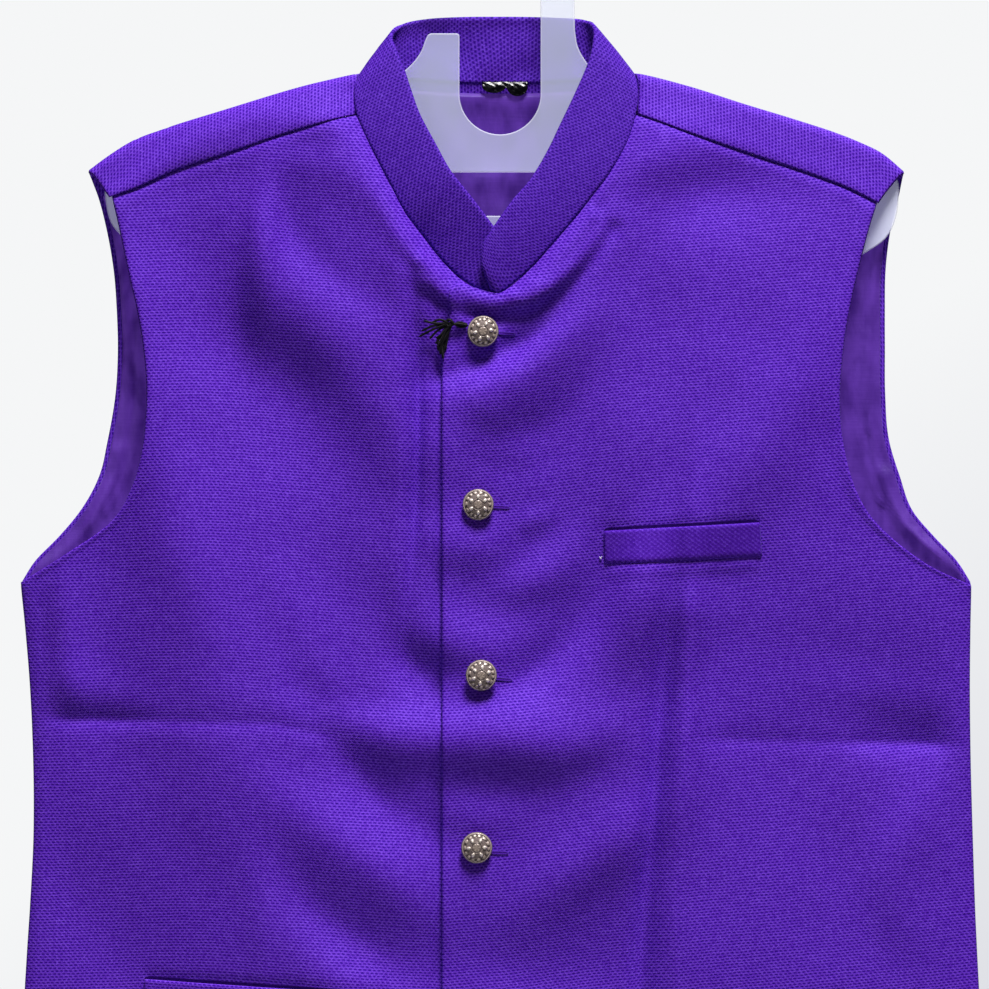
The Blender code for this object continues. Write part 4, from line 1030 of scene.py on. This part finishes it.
# Welts: name, corners, grain angle, flat width and height
WELTS = (
    ("chest_welt", CHEST_WELT, math.radians(2.0), (0.09, 0.02)),
    ("hip_welt_right", hip_welt_corners(HIP_WELT_RIGHT_START, 1.0), math.radians(3.0), (0.14, 0.022)),
    ("hip_welt_left", hip_welt_corners(HIP_WELT_LEFT_START, -1.0), math.radians(-3.0), (0.14, 0.022)),
)
# Painted shade: a dark material for the sheet that stands in for the shadow in each pocket's opening
MOUTH_PAINTED_SHADE = Look("pocket_mouth_painted_shade", Specular_IOR_Level=0.05)
mouth_shade_tone = MOUTH_PAINTED_SHADE.noise(MOUTH_PAINTED_SHADE.flat(), 700.0, 2.0)
MOUTH_PAINTED_SHADE.set(MOUTH_PAINTED_SHADE.surface, {"Base Color": MOUTH_PAINTED_SHADE.ramp(mouth_shade_tone, (0.3, linear(20, 0, 62)), (0.8, linear(40, 8, 98))), "Roughness": 0.9})
MOUTH_RISE = 2.0
MOUTH_UNDER = 0.6


def painted_shade_mouth_piece(name, corners):
    """A dark sheet of painted shade along the top of a welt, standing in for the shaded opening of the pocket."""
    top_in, top_out, _, bottom_in = (np.array(corner) for corner in corners)
    up = (top_in - bottom_in) / np.linalg.norm(top_in - bottom_in)
    length = np.linalg.norm(top_out - top_in)
    across = edged(int(length / 1.6), length)[None, :, None]
    rise = np.linspace(MOUTH_RISE, -MOUTH_UNDER, 7)[:, None, None]
    ends = np.sqrt(np.clip(np.minimum(across, 1.0 - across) * length / 3.0, 0.04, 1.0))
    place = top_in + (top_out - top_in) * across + up * np.where(rise > 0, rise * ends, rise)
    x, z = place[..., 0], place[..., 1]
    y = face_y(x, z) + fold_sum(POCKET_FOLDS, x, z) - 0.16 + (beneath_lap(x) if x.mean() < 0 else 0.0)
    facing = 1.0 if top_out[0] > top_in[0] else -1.0
    grid = np.stack([x, y, z], axis=-1)
    return shell(name, grid, np.stack([x, z], axis=-1), 0.1, 0.1, (MOUTH_PAINTED_SHADE.material,), facing)


# Each welt gets a sheet of painted shade along its top
for node, corners, angle, size in WELTS:
    finish_piece(painted_shade_mouth_piece("mouth_" + node, corners), "lining")
    welt = finish_piece(welt_piece("cloth_" + node, corners, angle), "shell_cloth", node)

# Hanger


def arc(centre_x, centre_z, radius, start, end, steps=24):
    angles = np.radians(np.linspace(start, end, steps + 1))
    return [(centre_x + radius * math.cos(a), centre_z + radius * math.sin(a)) for a in angles]


def arm_top(side):
    return [(side * x, float(along(RIDGE, side * x)) - ARM_DROP) for x in np.linspace(ARM_FROM, ARM_TO, 24)]


def eased(points, steps=4):
    """A finer line on the smooth curve through a few points."""
    return [tuple(point) for point in through(points, np.linspace(0.0, len(points) - 1.0, (len(points) - 1) * steps + 1))]


def hanger_outline():
    """The plate from the hook's tip over the hook, down the stem, round both arms and up the prong."""
    outer = HOOK_INNER + HOOK_WIDTH
    tip = arc(-HOOK_INNER - HOOK_WIDTH / 2, HOOK_TIP_Z, HOOK_WIDTH / 2, 360.0, 180.0)
    hook = arc(0.0, HOOK_CENTRE_Z, outer, 180.0, 0.0)
    left_arm = eased(STEM_SIDE) + arm_top(1.0) + eased(LEFT_TIP)
    right_arm = eased(RIGHT_TIP) + arm_top(-1.0)[::-1] + eased(PRONG_SIDE)
    prong = [(-HOOK_INNER - PRONG_WIDTH + PRONG_ROUND, PRONG_TOP_Z), (-HOOK_INNER - PRONG_ROUND, PRONG_TOP_Z)]
    prong += [(-HOOK_INNER - 0.4, PRONG_TOP_Z - 0.4), (-HOOK_INNER, PRONG_TOP_Z - PRONG_ROUND)]
    notch = arc(0.0, NOTCH_CENTRE_Z, HOOK_INNER, 180.0, 360.0)
    inner = arc(0.0, HOOK_CENTRE_Z, HOOK_INNER, 0.0, 180.0)
    return tip + hook + left_arm + right_arm + prong + notch + inner


def slot_outline():
    points = []
    for side_x, side_z, start in ((1, 1, 0.0), (-1, 1, 90.0), (-1, -1, 180.0), (1, -1, 270.0)):
        centre_z = SLOT_TOP - SLOT_ROUND if side_z > 0 else SLOT_BOTTOM + SLOT_ROUND
        points += arc(side_x * (SLOT_HALF - SLOT_ROUND), centre_z, SLOT_ROUND, start, start + 90.0, 8)
    return points


# Painted glow of the plastic; the arm tips get a stronger painted glow and are less see-through, so they read as lit
# where the shoulders shade them
PAINTED_GLOW = 0.075
TIP_PAINTED_GLOW = 0.14
TIP_FROM = 198.0


def frosted(name, colour, alpha, roughness, glow=PAINTED_GLOW):
    """Frosted plastic that lets some of what is behind it through, with a painted glow that stands in for the light it
    takes up from behind.
    """
    look = Look(name, Alpha=alpha, Specular_IOR_Level=0.5)
    place = look.place()
    cloud = look.noise(place, 14.0, 3.0)
    grit = look.noise(place, 900.0, 2.0)
    shade = tuple(c * 0.95 for c in colour[:3]) + (1.0,)
    look.set(look.surface, {"Base Color": look.mix(cloud, shade, colour)})
    look.set(look.surface, {"Roughness": look.math("MULTIPLY_ADD", grit, 0.12, roughness)})
    look.set(look.surface, {"Emission Color": (0.8, 0.82, 1.0, 1.0), "Emission Strength": glow})
    look.bump(grit, 0.000008, 0.3)
    return look.material


PLASTIC = frosted("hanger_frosted", linear(226, 233, 255), 0.3, 0.5)
# The rounded rim is lighter: a painted glint along the edges; it is also less see-through than the flat faces
PLASTIC_EDGE_PAINTED_GLINT = frosted("hanger_edge_painted_glint", linear(238, 240, 255), 0.42, 0.5)
PLASTIC_TIP_PAINTED_GLOW = frosted("hanger_tip_painted_glow", linear(226, 230, 250), 0.62, 0.5, TIP_PAINTED_GLOW)


def hanger_piece():
    shape = bpy.data.curves.new("plastic_hanger", "CURVE")
    shape.dimensions, shape.fill_mode = "2D", "BOTH"
    shape.bevel_depth = PLATE_BEVEL * MM
    shape.bevel_resolution = 3
    shape.offset = -PLATE_BEVEL * MM
    shape.extrude = (PLATE / 2 - PLATE_BEVEL) * MM
    for outline in (hanger_outline(), slot_outline()):
        spline = shape.splines.new("POLY")
        spline.points.add(len(outline) - 1)
        for point, (x, z) in zip(spline.points, outline):
            point.co = (x * MM, z * MM, 0.0, 1.0)
        spline.use_cyclic_u = True
    drawn = bpy.data.objects.new("outline", shape)
    bpy.context.scene.collection.objects.link(drawn)
    drawn.rotation_euler = (math.radians(90.0), 0.0, 0.0)
    bpy.context.view_layer.update()
    mesh = bpy.data.meshes.new_from_object(drawn.evaluated_get(bpy.context.evaluated_depsgraph_get()))
    mesh.transform(drawn.matrix_world)
    bpy.data.objects.remove(drawn, do_unlink=True)
    mesh.materials.clear()
    mesh.materials.append(PLASTIC)
    mesh.materials.append(PLASTIC_EDGE_PAINTED_GLINT)
    mesh.materials.append(PLASTIC_TIP_PAINTED_GLOW)
    cut = bmesh.new()
    cut.from_mesh(mesh)
    for side in (-1.0, 1.0):
        parts = cut.verts[:] + cut.edges[:] + cut.faces[:]
        bmesh.ops.bisect_plane(cut, geom=parts, plane_co=(side * TIP_FROM * MM, 0.0, 0.0), plane_no=(side, 0.0, 0.0))
    cut.to_mesh(mesh)
    cut.free()
    # Flat faces past TIP_FROM take the tip material with its stronger painted glow; the rounded rim takes the lighter
    # edge material, a painted glint
    for face in mesh.polygons:
        flat_face = abs(face.normal.y) > 0.99
        face.material_index = 1 if not flat_face else 2 if abs(face.center.x) > TIP_FROM * MM else 0
        face.use_smooth = not flat_face
    made = bpy.data.objects.new("plastic_hanger", mesh)
    bpy.context.scene.collection.objects.link(made)
    return made


finish_piece(hanger_piece(), "hanger_plastic", "hanger")

# Buttons


BRASS = Look("button_brass", Metallic=0.25, Specular_IOR_Level=0.5)
relief = BRASS.add("Attribute", {}, attribute_name="relief").outputs["Fac"]
patina = BRASS.noise(BRASS.place(), 700.0, 3.0)
raised = BRASS.math("MULTIPLY_ADD", BRASS.math("SUBTRACT", patina, 0.5), 0.35, relief)
tone = BRASS.ramp(raised, (0.0, linear(56, 44, 40)), (0.32, linear(124, 110, 106)), (0.62, linear(158, 142, 130)), (0.95, linear(218, 206, 194)))
BRASS.set(BRASS.surface, {"Base Color": tone, "Roughness": BRASS.math("MULTIPLY_ADD", raised, -0.25, 0.52)})
BRASS.bump(patina, 0.00012, 0.5)

# Half section of a button from the crown to its rim: radius, height
BUTTON_PROFILE = ((0.0, 3.5), (2.4, 3.4), (4.8, 2.95), (6.8, 2.2), (8.0, 1.45), (8.5, 1.2), (9.0, 0.5))
BUTTON_BACK = ((8.9, 0.1), (8.6, 0.0), (2.0, 0.0), (2.0, -1.2))
BUTTON_TURNS = (8.0, 30.0, 22.0, 3.0, -25.0)
BUTTON_SPOKES = 132
BUTTON_RINGS = 58
BEADS = 6
BEAD_RADIUS = 4.7
BEAD_LENGTH = 1.35
BEAD_WIDTH = 1.0
SCROLLS = 14
PLAIN_RELIEF = 0.24


def button_relief(radius, angle):
    """Raised ornament of a button: centre flower with a dot, six beads round it, scrolls and a rim."""
    x, z = radius * np.cos(angle), radius * np.sin(angle)
    raised = 0.2 * smooth((2.5 - radius) / 0.5) + 0.04 * np.cos(BEADS * angle) * smooth((2.5 - radius) / 0.5) * radius
    for bead in range(BEADS):
        turn = 2.0 * math.pi * bead / BEADS
        outward = (x * math.cos(turn) + z * math.sin(turn) - BEAD_RADIUS) / BEAD_LENGTH
        away = np.hypot(outward, (z * math.cos(turn) - x * math.sin(turn)) / BEAD_WIDTH)
        raised = np.maximum(raised, 0.8 * np.sqrt(np.maximum(1.0 - away**2, 0.0)))
    swirl = angle * SCROLLS + 1.5 * np.sin((radius - 6.0) * 1.6) + 0.9 * np.sin(3.0 * angle + 1.0)
    band = smooth((radius - 6.0) / 0.4) * smooth((7.8 - radius) / 0.4)
    scroll = 0.34 * smooth(np.cos(swirl) + 0.45) * band
    scroll = np.maximum(scroll, 0.16 * np.exp(-(((radius - 3.2) / 0.22) ** 2)))
    sunk = 0.3 * band * smooth(-np.cos(swirl) - 0.3) + 0.16 * np.exp(-(((radius - 2.85) / 0.2) ** 2))
    rim = 0.4 * np.exp(-(((radius - 8.3) / 0.32) ** 2))
    return PLAIN_RELIEF + np.maximum(np.maximum(raised, scroll), rim) - sunk


def button_piece(number, turn):
    low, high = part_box(f"button_{number}")
    x0, z0 = (low[0] + high[0]) / 2, (low[2] + high[2]) / 2
    base_y = high[1] - 1.2 * MM
    angle = np.linspace(0.0, 2.0 * math.pi, BUTTON_SPOKES, endpoint=False)
    radii = np.linspace(0.0, 1.0, BUTTON_RINGS + 1)[1:] * 9.0
    heights = [along(BUTTON_PROFILE, r) + button_relief(np.full(BUTTON_SPOKES, r), angle) for r in radii]
    shine = [button_relief(np.full(BUTTON_SPOKES, r), angle) for r in radii]
    rings = list(radii) + [radius for radius, _ in BUTTON_BACK]
    heights += [np.full(BUTTON_SPOKES, height) for _, height in BUTTON_BACK]
    shine += [np.full(BUTTON_SPOKES, 0.25)] * len(BUTTON_BACK)
    points, wear = [(0.0, -(3.5 + 0.35), 0.0)], [0.35]
    for radius, height, glow in zip(rings, heights, shine):
        points += [(radius * math.cos(a + math.radians(turn)), -h, radius * math.sin(a + math.radians(turn))) for a, h in zip(angle, height)]
        wear += list(glow)
    points.append((0.0, 1.2, 0.0))
    wear.append(0.2)
    faces = [(0, 1 + (k + 1) % BUTTON_SPOKES, 1 + k) for k in range(BUTTON_SPOKES)]
    for ring in range(len(rings) - 1):
        start = 1 + ring * BUTTON_SPOKES
        for k in range(BUTTON_SPOKES):
            after = (k + 1) % BUTTON_SPOKES
            faces.append((start + k, start + after, start + BUTTON_SPOKES + after, start + BUTTON_SPOKES + k))
    start = 1 + (len(rings) - 1) * BUTTON_SPOKES
    faces += [(start + k, start + (k + 1) % BUTTON_SPOKES, len(points) - 1) for k in range(BUTTON_SPOKES)]
    mesh = bpy.data.meshes.new(f"brass_button_{number}")
    mesh.from_pydata([(x0 + x * MM, base_y + y * MM, z0 + z * MM) for x, y, z in points], [], faces)
    mesh.materials.append(BRASS.material)
    mesh.attributes.new("relief", "FLOAT", "POINT").data.foreach_set("value", np.array(wear) / 0.8)
    mesh.polygons.foreach_set("use_smooth", np.ones(len(faces), bool))
    made = bpy.data.objects.new(mesh.name, mesh)
    bpy.context.scene.collection.objects.link(made)
    return finish_piece(made, "button_metal", f"button_{number}")


for number, turn in enumerate(BUTTON_TURNS, 1):
    button_piece(number, turn)

# Thread

THREAD_LOOK = Look("sewing_thread_violet", Specular_IOR_Level=0.2, Sheen_Weight=0.1)
thread_flat = THREAD_LOOK.flat()
stitch = wave(THREAD_LOOK, THREAD_LOOK.split(thread_flat)[0], 0.62 * MM)
stitch_tone = THREAD_LOOK.math("MULTIPLY_ADD", THREAD_LOOK.noise(thread_flat, 1500.0, 1.0), 0.7, THREAD_LOOK.math("MULTIPLY", stitch, 0.22))
THREAD_LOOK.set(THREAD_LOOK.surface, {"Base Color": THREAD_LOOK.ramp(stitch_tone, (0.1, linear(66, 16, 148)), (0.6, linear(88, 32, 178))), "Roughness": 0.65})
THREAD_LOOK.bump(stitch, 0.0002, 0.6)
SLIT_LOOK = Look("buttonhole_slit", Specular_IOR_Level=0.05)
SLIT_LOOK.set(SLIT_LOOK.surface, {"Base Color": SLIT_LOOK.ramp(SLIT_LOOK.noise(SLIT_LOOK.flat(), 900.0), (0.3, linear(60, 12, 134)), (0.8, linear(72, 22, 152))), "Roughness": 0.9})

# Buttonholes: centre x, z, slope in degrees (positive falls to the right); length, width and slit of each
BUTTONHOLES = ((3.6, -237.6, 4.0), (0.4, -337.6, 3.0), (2.0, -436.7, 5.0), (-0.3, -536.4, 2.0), (-0.3, -636.4, 3.0))
HOLE_LENGTH = 10.4
HOLE_WIDTH = 2.4
SLIT_SHARE = 0.26
HOLE_RAISE = 0.14


def buttonhole_piece(number, middle_x, middle_z, slope):
    """A worked buttonhole: a low ring of close stitches round its slit, seen beside the button."""
    across = np.linspace(-1.0, 1.0, 41)[None, :]
    down = np.linspace(-1.0, 1.0, 15)[:, None]
    taper = np.sqrt(np.maximum(1.0 - np.abs(across) ** 6, 0.02))
    right = across * HOLE_LENGTH / 2 + 0.0 * down
    below = down * taper * HOLE_WIDTH / 2
    turn = math.radians(slope)
    x = middle_x + right * math.cos(turn) - below * math.sin(turn)
    z = middle_z - right * math.sin(turn) - below * math.cos(turn)
    slit = np.exp(-((down / SLIT_SHARE) ** 2)) * smooth((0.86 - np.abs(across)) / 0.12)
    y = face_y(x, z) - 0.24 - HOLE_RAISE * (1.0 - down**2) + 0.2 * slit
    made = shell(f"buttonhole_{number}", np.stack([x, y, z], axis=-1), np.stack([right, below], axis=-1), 0.16, 0.16, (THREAD_LOOK.material,))
    made.data.materials.append(SLIT_LOOK.material)
    for face in made.data.polygons:
        x, _, z = face.center / MM
        low = (middle_z - z) * math.cos(turn) - (x - middle_x) * math.sin(turn)
        out = (x - middle_x) * math.cos(turn) + (middle_z - z) * math.sin(turn)
        if abs(low) < SLIT_SHARE * 0.55 * HOLE_WIDTH and abs(out) < 0.42 * HOLE_LENGTH:
            face.material_index = 1
    return finish_piece(made, "shell_cloth")


for number, (middle_x, middle_z, slope) in enumerate(BUTTONHOLES, 1):
    buttonhole_piece(number, middle_x, middle_z, slope)


def strand(points, radius, sides=6):
    """Points and faces of one thread along a smooth line, closed at both ends."""
    line = np.array(through(points, np.linspace(0.0, len(points) - 1.0, 6 * len(points))))
    tangent = np.gradient(line, axis=0)
    tangent /= np.linalg.norm(tangent, axis=1, keepdims=True)
    first = np.cross(tangent, (0.0, 1.0, 0.12))
    first /= np.linalg.norm(first, axis=1, keepdims=True)
    second = np.cross(tangent, first)
    angles = np.arange(sides) * 2.0 * math.pi / sides
    ring = first[:, None] * np.cos(angles)[None, :, None] + second[:, None] * np.sin(angles)[None, :, None]
    size = radius * np.minimum(1.0, 0.35 + np.minimum(np.arange(len(line)), np.arange(len(line))[::-1]))
    points = (line[:, None] + ring * size[:, None, None]).reshape(-1, 3)
    faces = [tuple(range(sides)), tuple(len(points) - 1 - k for k in range(sides))]
    for step in range(len(line) - 1):
        for k in range(sides):
            here, there = step * sides + k, step * sides + (k + 1) % sides
            faces.append((there, here, here + sides, there + sides))
    return points, faces


def thread_piece(name, lines, radius, look, slot):
    points, faces, total = [], [], 0
    for line in lines:
        more, ring = strand(line, radius)
        points.append(more)
        faces += [tuple(total + k for k in face) for face in ring]
        total += len(more)
    mesh = bpy.data.meshes.new(name)
    mesh.from_pydata((np.concatenate(points) * MM).tolist(), [], faces)
    mesh.materials.append(look.material)
    mesh.polygons.foreach_set("use_smooth", np.ones(len(faces), bool))
    made = bpy.data.objects.new(name, mesh)
    bpy.context.scene.collection.objects.link(made)
    return finish_piece(made, slot)


def off_front(x, z, away):
    return x, float(front_y(x, z)) - FRONT_WALL / 2 - away, z


BLACK_THREAD = Look("sewing_thread_black", Specular_IOR_Level=0.15, Sheen_Weight=0.05)
twist = BLACK_THREAD.noise(BLACK_THREAD.place(), 2600.0, 1.0)
BLACK_THREAD.set(BLACK_THREAD.surface, {"Base Color": BLACK_THREAD.ramp(twist, (0.3, linear(3, 3, 5)), (0.8, linear(12, 10, 18))), "Roughness": 0.55})
BLACK_THREAD.bump(twist, 0.00012, 0.6)
WHITE_THREAD = Look("sewing_thread_white", Specular_IOR_Level=0.3)
strands = WHITE_THREAD.noise(WHITE_THREAD.place(), 2600.0, 1.0)
WHITE_THREAD.set(WHITE_THREAD.surface, {"Base Color": WHITE_THREAD.ramp(strands, (0.3, linear(176, 168, 196)), (0.8, linear(236, 232, 244))), "Roughness": 0.6})

# Ends of the thread that is knotted beside the top button: x, z and distance off the cloth along each
TUFT = (
    ((-18.6, -232.6, 1.6), (-23.0, -231.2, 1.4), (-27.0, -232.4, 2.2), (-29.6, -231.4, 2.4)),
    ((-18.8, -233.4, 1.2), (-23.4, -233.6, 1.8), (-28.0, -231.4, 2.0), (-30.6, -233.0, 1.8)),
    ((-27.0, -231.0, 2.2), (-29.8, -233.4, 2.8), (-31.0, -230.8, 2.0), (-28.4, -229.8, 1.6), (-27.4, -232.6, 2.4)),
    ((-28.2, -233.6, 2.0), (-31.6, -232.6, 2.4), (-29.8, -229.6, 2.2), (-27.0, -231.8, 2.8), (-29.4, -234.4, 1.6)),
    ((-29.8, -232.6, 1.8), (-34.0, -238.2, 1.2), (-37.1, -243.6, 0.8)),
    ((-29.2, -232.8, 1.9), (-31.8, -241.0, 1.2), (-33.1, -251.1, 0.7)),
    ((-29.6, -232.9, 1.7), (-32.6, -239.0, 1.4), (-34.8, -246.5, 0.8)),
    ((-30.0, -232.2, 2.0), (-32.0, -237.0, 2.2), (-35.8, -241.4, 1.0)),
    ((-29.6, -231.9, 2.1), (-38.0, -235.0, 1.6), (-47.0, -239.5, 0.8)),
    ((-29.8, -231.6, 2.2), (-37.0, -231.8, 1.8), (-44.1, -230.3, 0.7)),
    ((-29.9, -232.0, 1.9), (-38.4, -233.2, 1.4), (-45.2, -236.1, 0.7)),
    ((-29.7, -232.4, 1.8), (-36.0, -236.0, 1.6), (-40.6, -240.7, 0.8)),
    ((-29.5, -231.8, 2.4), (-34.6, -229.6, 2.0), (-39.4, -231.6, 0.9)),
    ((-28.6, -233.0, 1.8), (-30.4, -240.0, 1.8), (-31.6, -247.6, 0.9)),
    ((-28.9, -233.4, 2.2), (-32.0, -237.6, 2.0), (-34.2, -244.4, 1.4), (-34.4, -249.6, 0.8)),
    ((-28.2, -233.0, 1.4), (-31.2, -238.6, 1.6), (-33.6, -246.0, 1.6), (-32.6, -252.2, 0.9)),
    ((-29.2, -233.6, 2.4), (-33.2, -240.0, 2.4), (-36.2, -246.6, 1.0)),
    ((-29.6, -233.0, 1.4), (-35.2, -240.4, 1.4), (-35.6, -247.6, 0.8)),
    ((-28.0, -232.4, 2.6), (-31.0, -236.0, 2.8), (-33.4, -241.8, 2.2), (-36.4, -245.4, 1.2)),
    ((-18.4, -233.0, 2.0), (-24.0, -232.2, 2.4), (-28.8, -232.8, 2.6)),
    ((-28.0, -232.0, 1.8), (-31.0, -235.0, 2.4), (-33.6, -238.0, 2.2), (-37.0, -240.4, 1.2)),
    ((-28.4, -231.2, 1.6), (-32.6, -232.8, 2.4), (-36.4, -234.2, 1.8), (-40.4, -236.0, 0.9)),
    ((-28.2, -233.4, 2.0), (-30.4, -238.4, 2.6), (-33.0, -243.0, 2.0), (-34.8, -248.0, 0.9)),
)
TUFT_RADIUS = 0.68
thread_piece("thread_black", [[off_front(*place) for place in line] for line in TUFT], TUFT_RADIUS, BLACK_THREAD, "label")
WELT_TACK = (((57.2, -366.2, 0.5), (58.4, -367.4, 0.9)), ((57.6, -367.6, 0.5), (58.8, -366.0, 0.9)))
thread_piece("thread_white", [[off_front(*place) for place in line] for line in WELT_TACK], 0.3, WHITE_THREAD, "shell_cloth")

# Label

LABEL_LEFT = -10.4
LABEL_RIGHT = 16.2
LABEL_TOP = -90.2
LABEL_CLEAR = 1.5

# Lobes of the label: share of its width at the middle, half width, drop
LABEL_LOBES = ((0.26, 0.29, 6.8), (0.77, 0.25, 8.6))
LABEL_BETWEEN = 3.6


def label_piece():
    """A small crumpled tab sewn in at its top edge, pinched so that it hangs in two lobes."""
    x = np.linspace(LABEL_LEFT, LABEL_RIGHT, 61)[None, :]
    down = np.linspace(0.0, 1.0, 25)[:, None]
    share = (x - LABEL_LEFT) / (LABEL_RIGHT - LABEL_LEFT)
    drop = np.full(x.shape, LABEL_BETWEEN)
    swell = np.zeros(x.shape)
    for middle, half, depth in LABEL_LOBES:
        across = np.clip((share - middle) / half, -1.0, 1.0)
        drop = np.maximum(drop, depth * (1.0 - across**2) ** 0.4)
        swell = np.maximum(swell, 1.0 - across**2)
    x, down = np.broadcast_arrays(x, down)
    z = LABEL_TOP - drop * down
    lobe = swell * np.sin(math.pi * np.clip(down * 1.15, 0.0, 1.0))
    slant = np.sin(1.1 * (x - LABEL_LEFT) + 1.7 * (z - LABEL_TOP))
    forward = 0.9 * lobe + 1.4 * down + 0.16 * (slant + ripple(x, z, 21, 12, 2.2, 7.0)) * np.minimum(3.0 * down, 1.0)
    base = float(back_y(0.0, LABEL_TOP)) - BACK_WALL / 2 - LINING_WALL - LABEL_CLEAR
    grid = np.stack([x, base - forward, z], axis=-1)
    return shell("cloth_label", grid, np.stack([x, z], axis=-1), LABEL_WALL / 2, LABEL_WALL / 2, (LABEL,))


LABEL_LOOK = Look("label_satin", Specular_IOR_Level=0.28)
label_flat = LABEL_LOOK.flat()
label_rib = LABEL_LOOK.noise(LABEL_LOOK.stretched(label_flat, (300.0, 3000.0, 1.0)), 1.0, 2.0)
LABEL_LOOK.set(LABEL_LOOK.surface, {"Base Color": LABEL_LOOK.ramp(label_rib, (0.3, linear(1, 1, 3)), (0.8, linear(9, 8, 14)))})
LABEL_LOOK.set(LABEL_LOOK.surface, {"Roughness": LABEL_LOOK.math("MULTIPLY_ADD", label_rib, 0.16, 0.12)})
LABEL_LOOK.bump(label_rib, 0.0001, 0.6)
LABEL = LABEL_LOOK.material
label = finish_piece(label_piece(), "label", "label")

# Floor, lights and camera

FLOOR_Z = -1.7
FLOOR_RADIUS = 1.3
GROUND_FALL = (4.5, 0.0, -7.0)
GROUND_FROM = 0.1
GROUND_TO = 1.0


def add_floor():
    angles = np.linspace(0.0, 2.0 * math.pi, 96, endpoint=False)
    mesh = bpy.data.meshes.new("floor")
    mesh.from_pydata([(FLOOR_RADIUS * math.cos(a), FLOOR_RADIUS * math.sin(a), FLOOR_Z) for a in angles], [], [tuple(range(96))])
    look = Look("floor_pale", Specular_IOR_Level=0.2)
    look.set(look.surface, {"Base Color": look.mix(look.noise(look.place(), 3.0), linear(198, 199, 201), linear(206, 207, 209))})
    look.set(look.surface, {"Roughness": 0.8})
    mesh.materials.append(look.material)
    made = bpy.data.objects.new("floor", mesh)
    bpy.context.scene.collection.objects.link(made)


def add_light(name, place, aim, size, power, colour):
    data = bpy.data.lights.new(name, "AREA")
    data.shape, data.size, data.energy, data.color = "DISK", size, power, colour
    made = bpy.data.objects.new(name, data)
    bpy.context.scene.collection.objects.link(made)
    made.location = place
    made.rotation_euler = (Vector(aim) - Vector(place)).to_track_quat("-Z", "Y").to_euler()


def add_world():
    """Soft even light from all round; the ground behind the object darkens a little low on the right."""
    world = bpy.data.worlds.new("studio")
    world.use_nodes = True
    tree = world.node_tree
    shade = tree.nodes["Background"]
    seen = tree.nodes.new("ShaderNodeBackground")
    path = tree.nodes.new("ShaderNodeLightPath")
    mix = tree.nodes.new("ShaderNodeMixShader")
    heading = tree.nodes.new("ShaderNodeTexCoord")
    low_right = tree.nodes.new("ShaderNodeVectorMath")
    fall = tree.nodes.new("ShaderNodeMapRange")
    tone = tree.nodes.new("ShaderNodeMix")
    low_right.operation = "DOT_PRODUCT"
    low_right.inputs[1].default_value = GROUND_FALL
    fall.inputs[1].default_value, fall.inputs[2].default_value = GROUND_FROM, GROUND_TO
    tone.data_type = "RGBA"
    tone.inputs[6].default_value = linear(245, 246, 247)
    tone.inputs[7].default_value = linear(222, 223, 229)
    shade.inputs[0].default_value = (0.93, 0.95, 1.0, 1.0)
    shade.inputs[1].default_value = 0.05
    tree.links.new(heading.outputs["Generated"], low_right.inputs[0])
    tree.links.new(low_right.outputs["Value"], fall.inputs[0])
    tree.links.new(fall.outputs[0], tone.inputs[0])
    tree.links.new(tone.outputs[2], seen.inputs[0])
    tree.links.new(path.outputs["Is Camera Ray"], mix.inputs[0])
    tree.links.new(shade.outputs[0], mix.inputs[1])
    tree.links.new(seen.outputs[0], mix.inputs[2])
    tree.links.new(mix.outputs[0], tree.nodes["World Output"].inputs[0])
    bpy.context.scene.world = world


add_floor()
add_world()
add_light("key", (0.8, -2.1, 4.95), (0.0, 0.0, -0.4), 2.0, 680.0, (1.0, 0.985, 1.0))
add_light("fill", (-1.6, -2.9, 0.1), (0.0, 0.0, -0.4), 1.8, 9.0, (0.96, 0.97, 1.0))
add_light("back", (1.0, 2.9, 2.3), (0.0, 0.0, -0.4), 1.8, 50.0, (1.0, 0.99, 1.0))

camera = bpy.data.cameras.new("camera")
camera.lens = 219.7
camera.sensor_width = 36.0
camera.clip_end = 100.0
camera_object = bpy.data.objects.new("camera", camera)
bpy.context.scene.collection.objects.link(camera_object)
camera_object.location = (-0.0032, -3.5, -0.3303)
camera_object.rotation_euler = (math.radians(90.0), 0.0, 0.0)
bpy.context.scene.camera = camera_object
bpy.context.scene.view_settings.view_transform = "Standard"
bpy.context.scene.view_settings.look = "None"
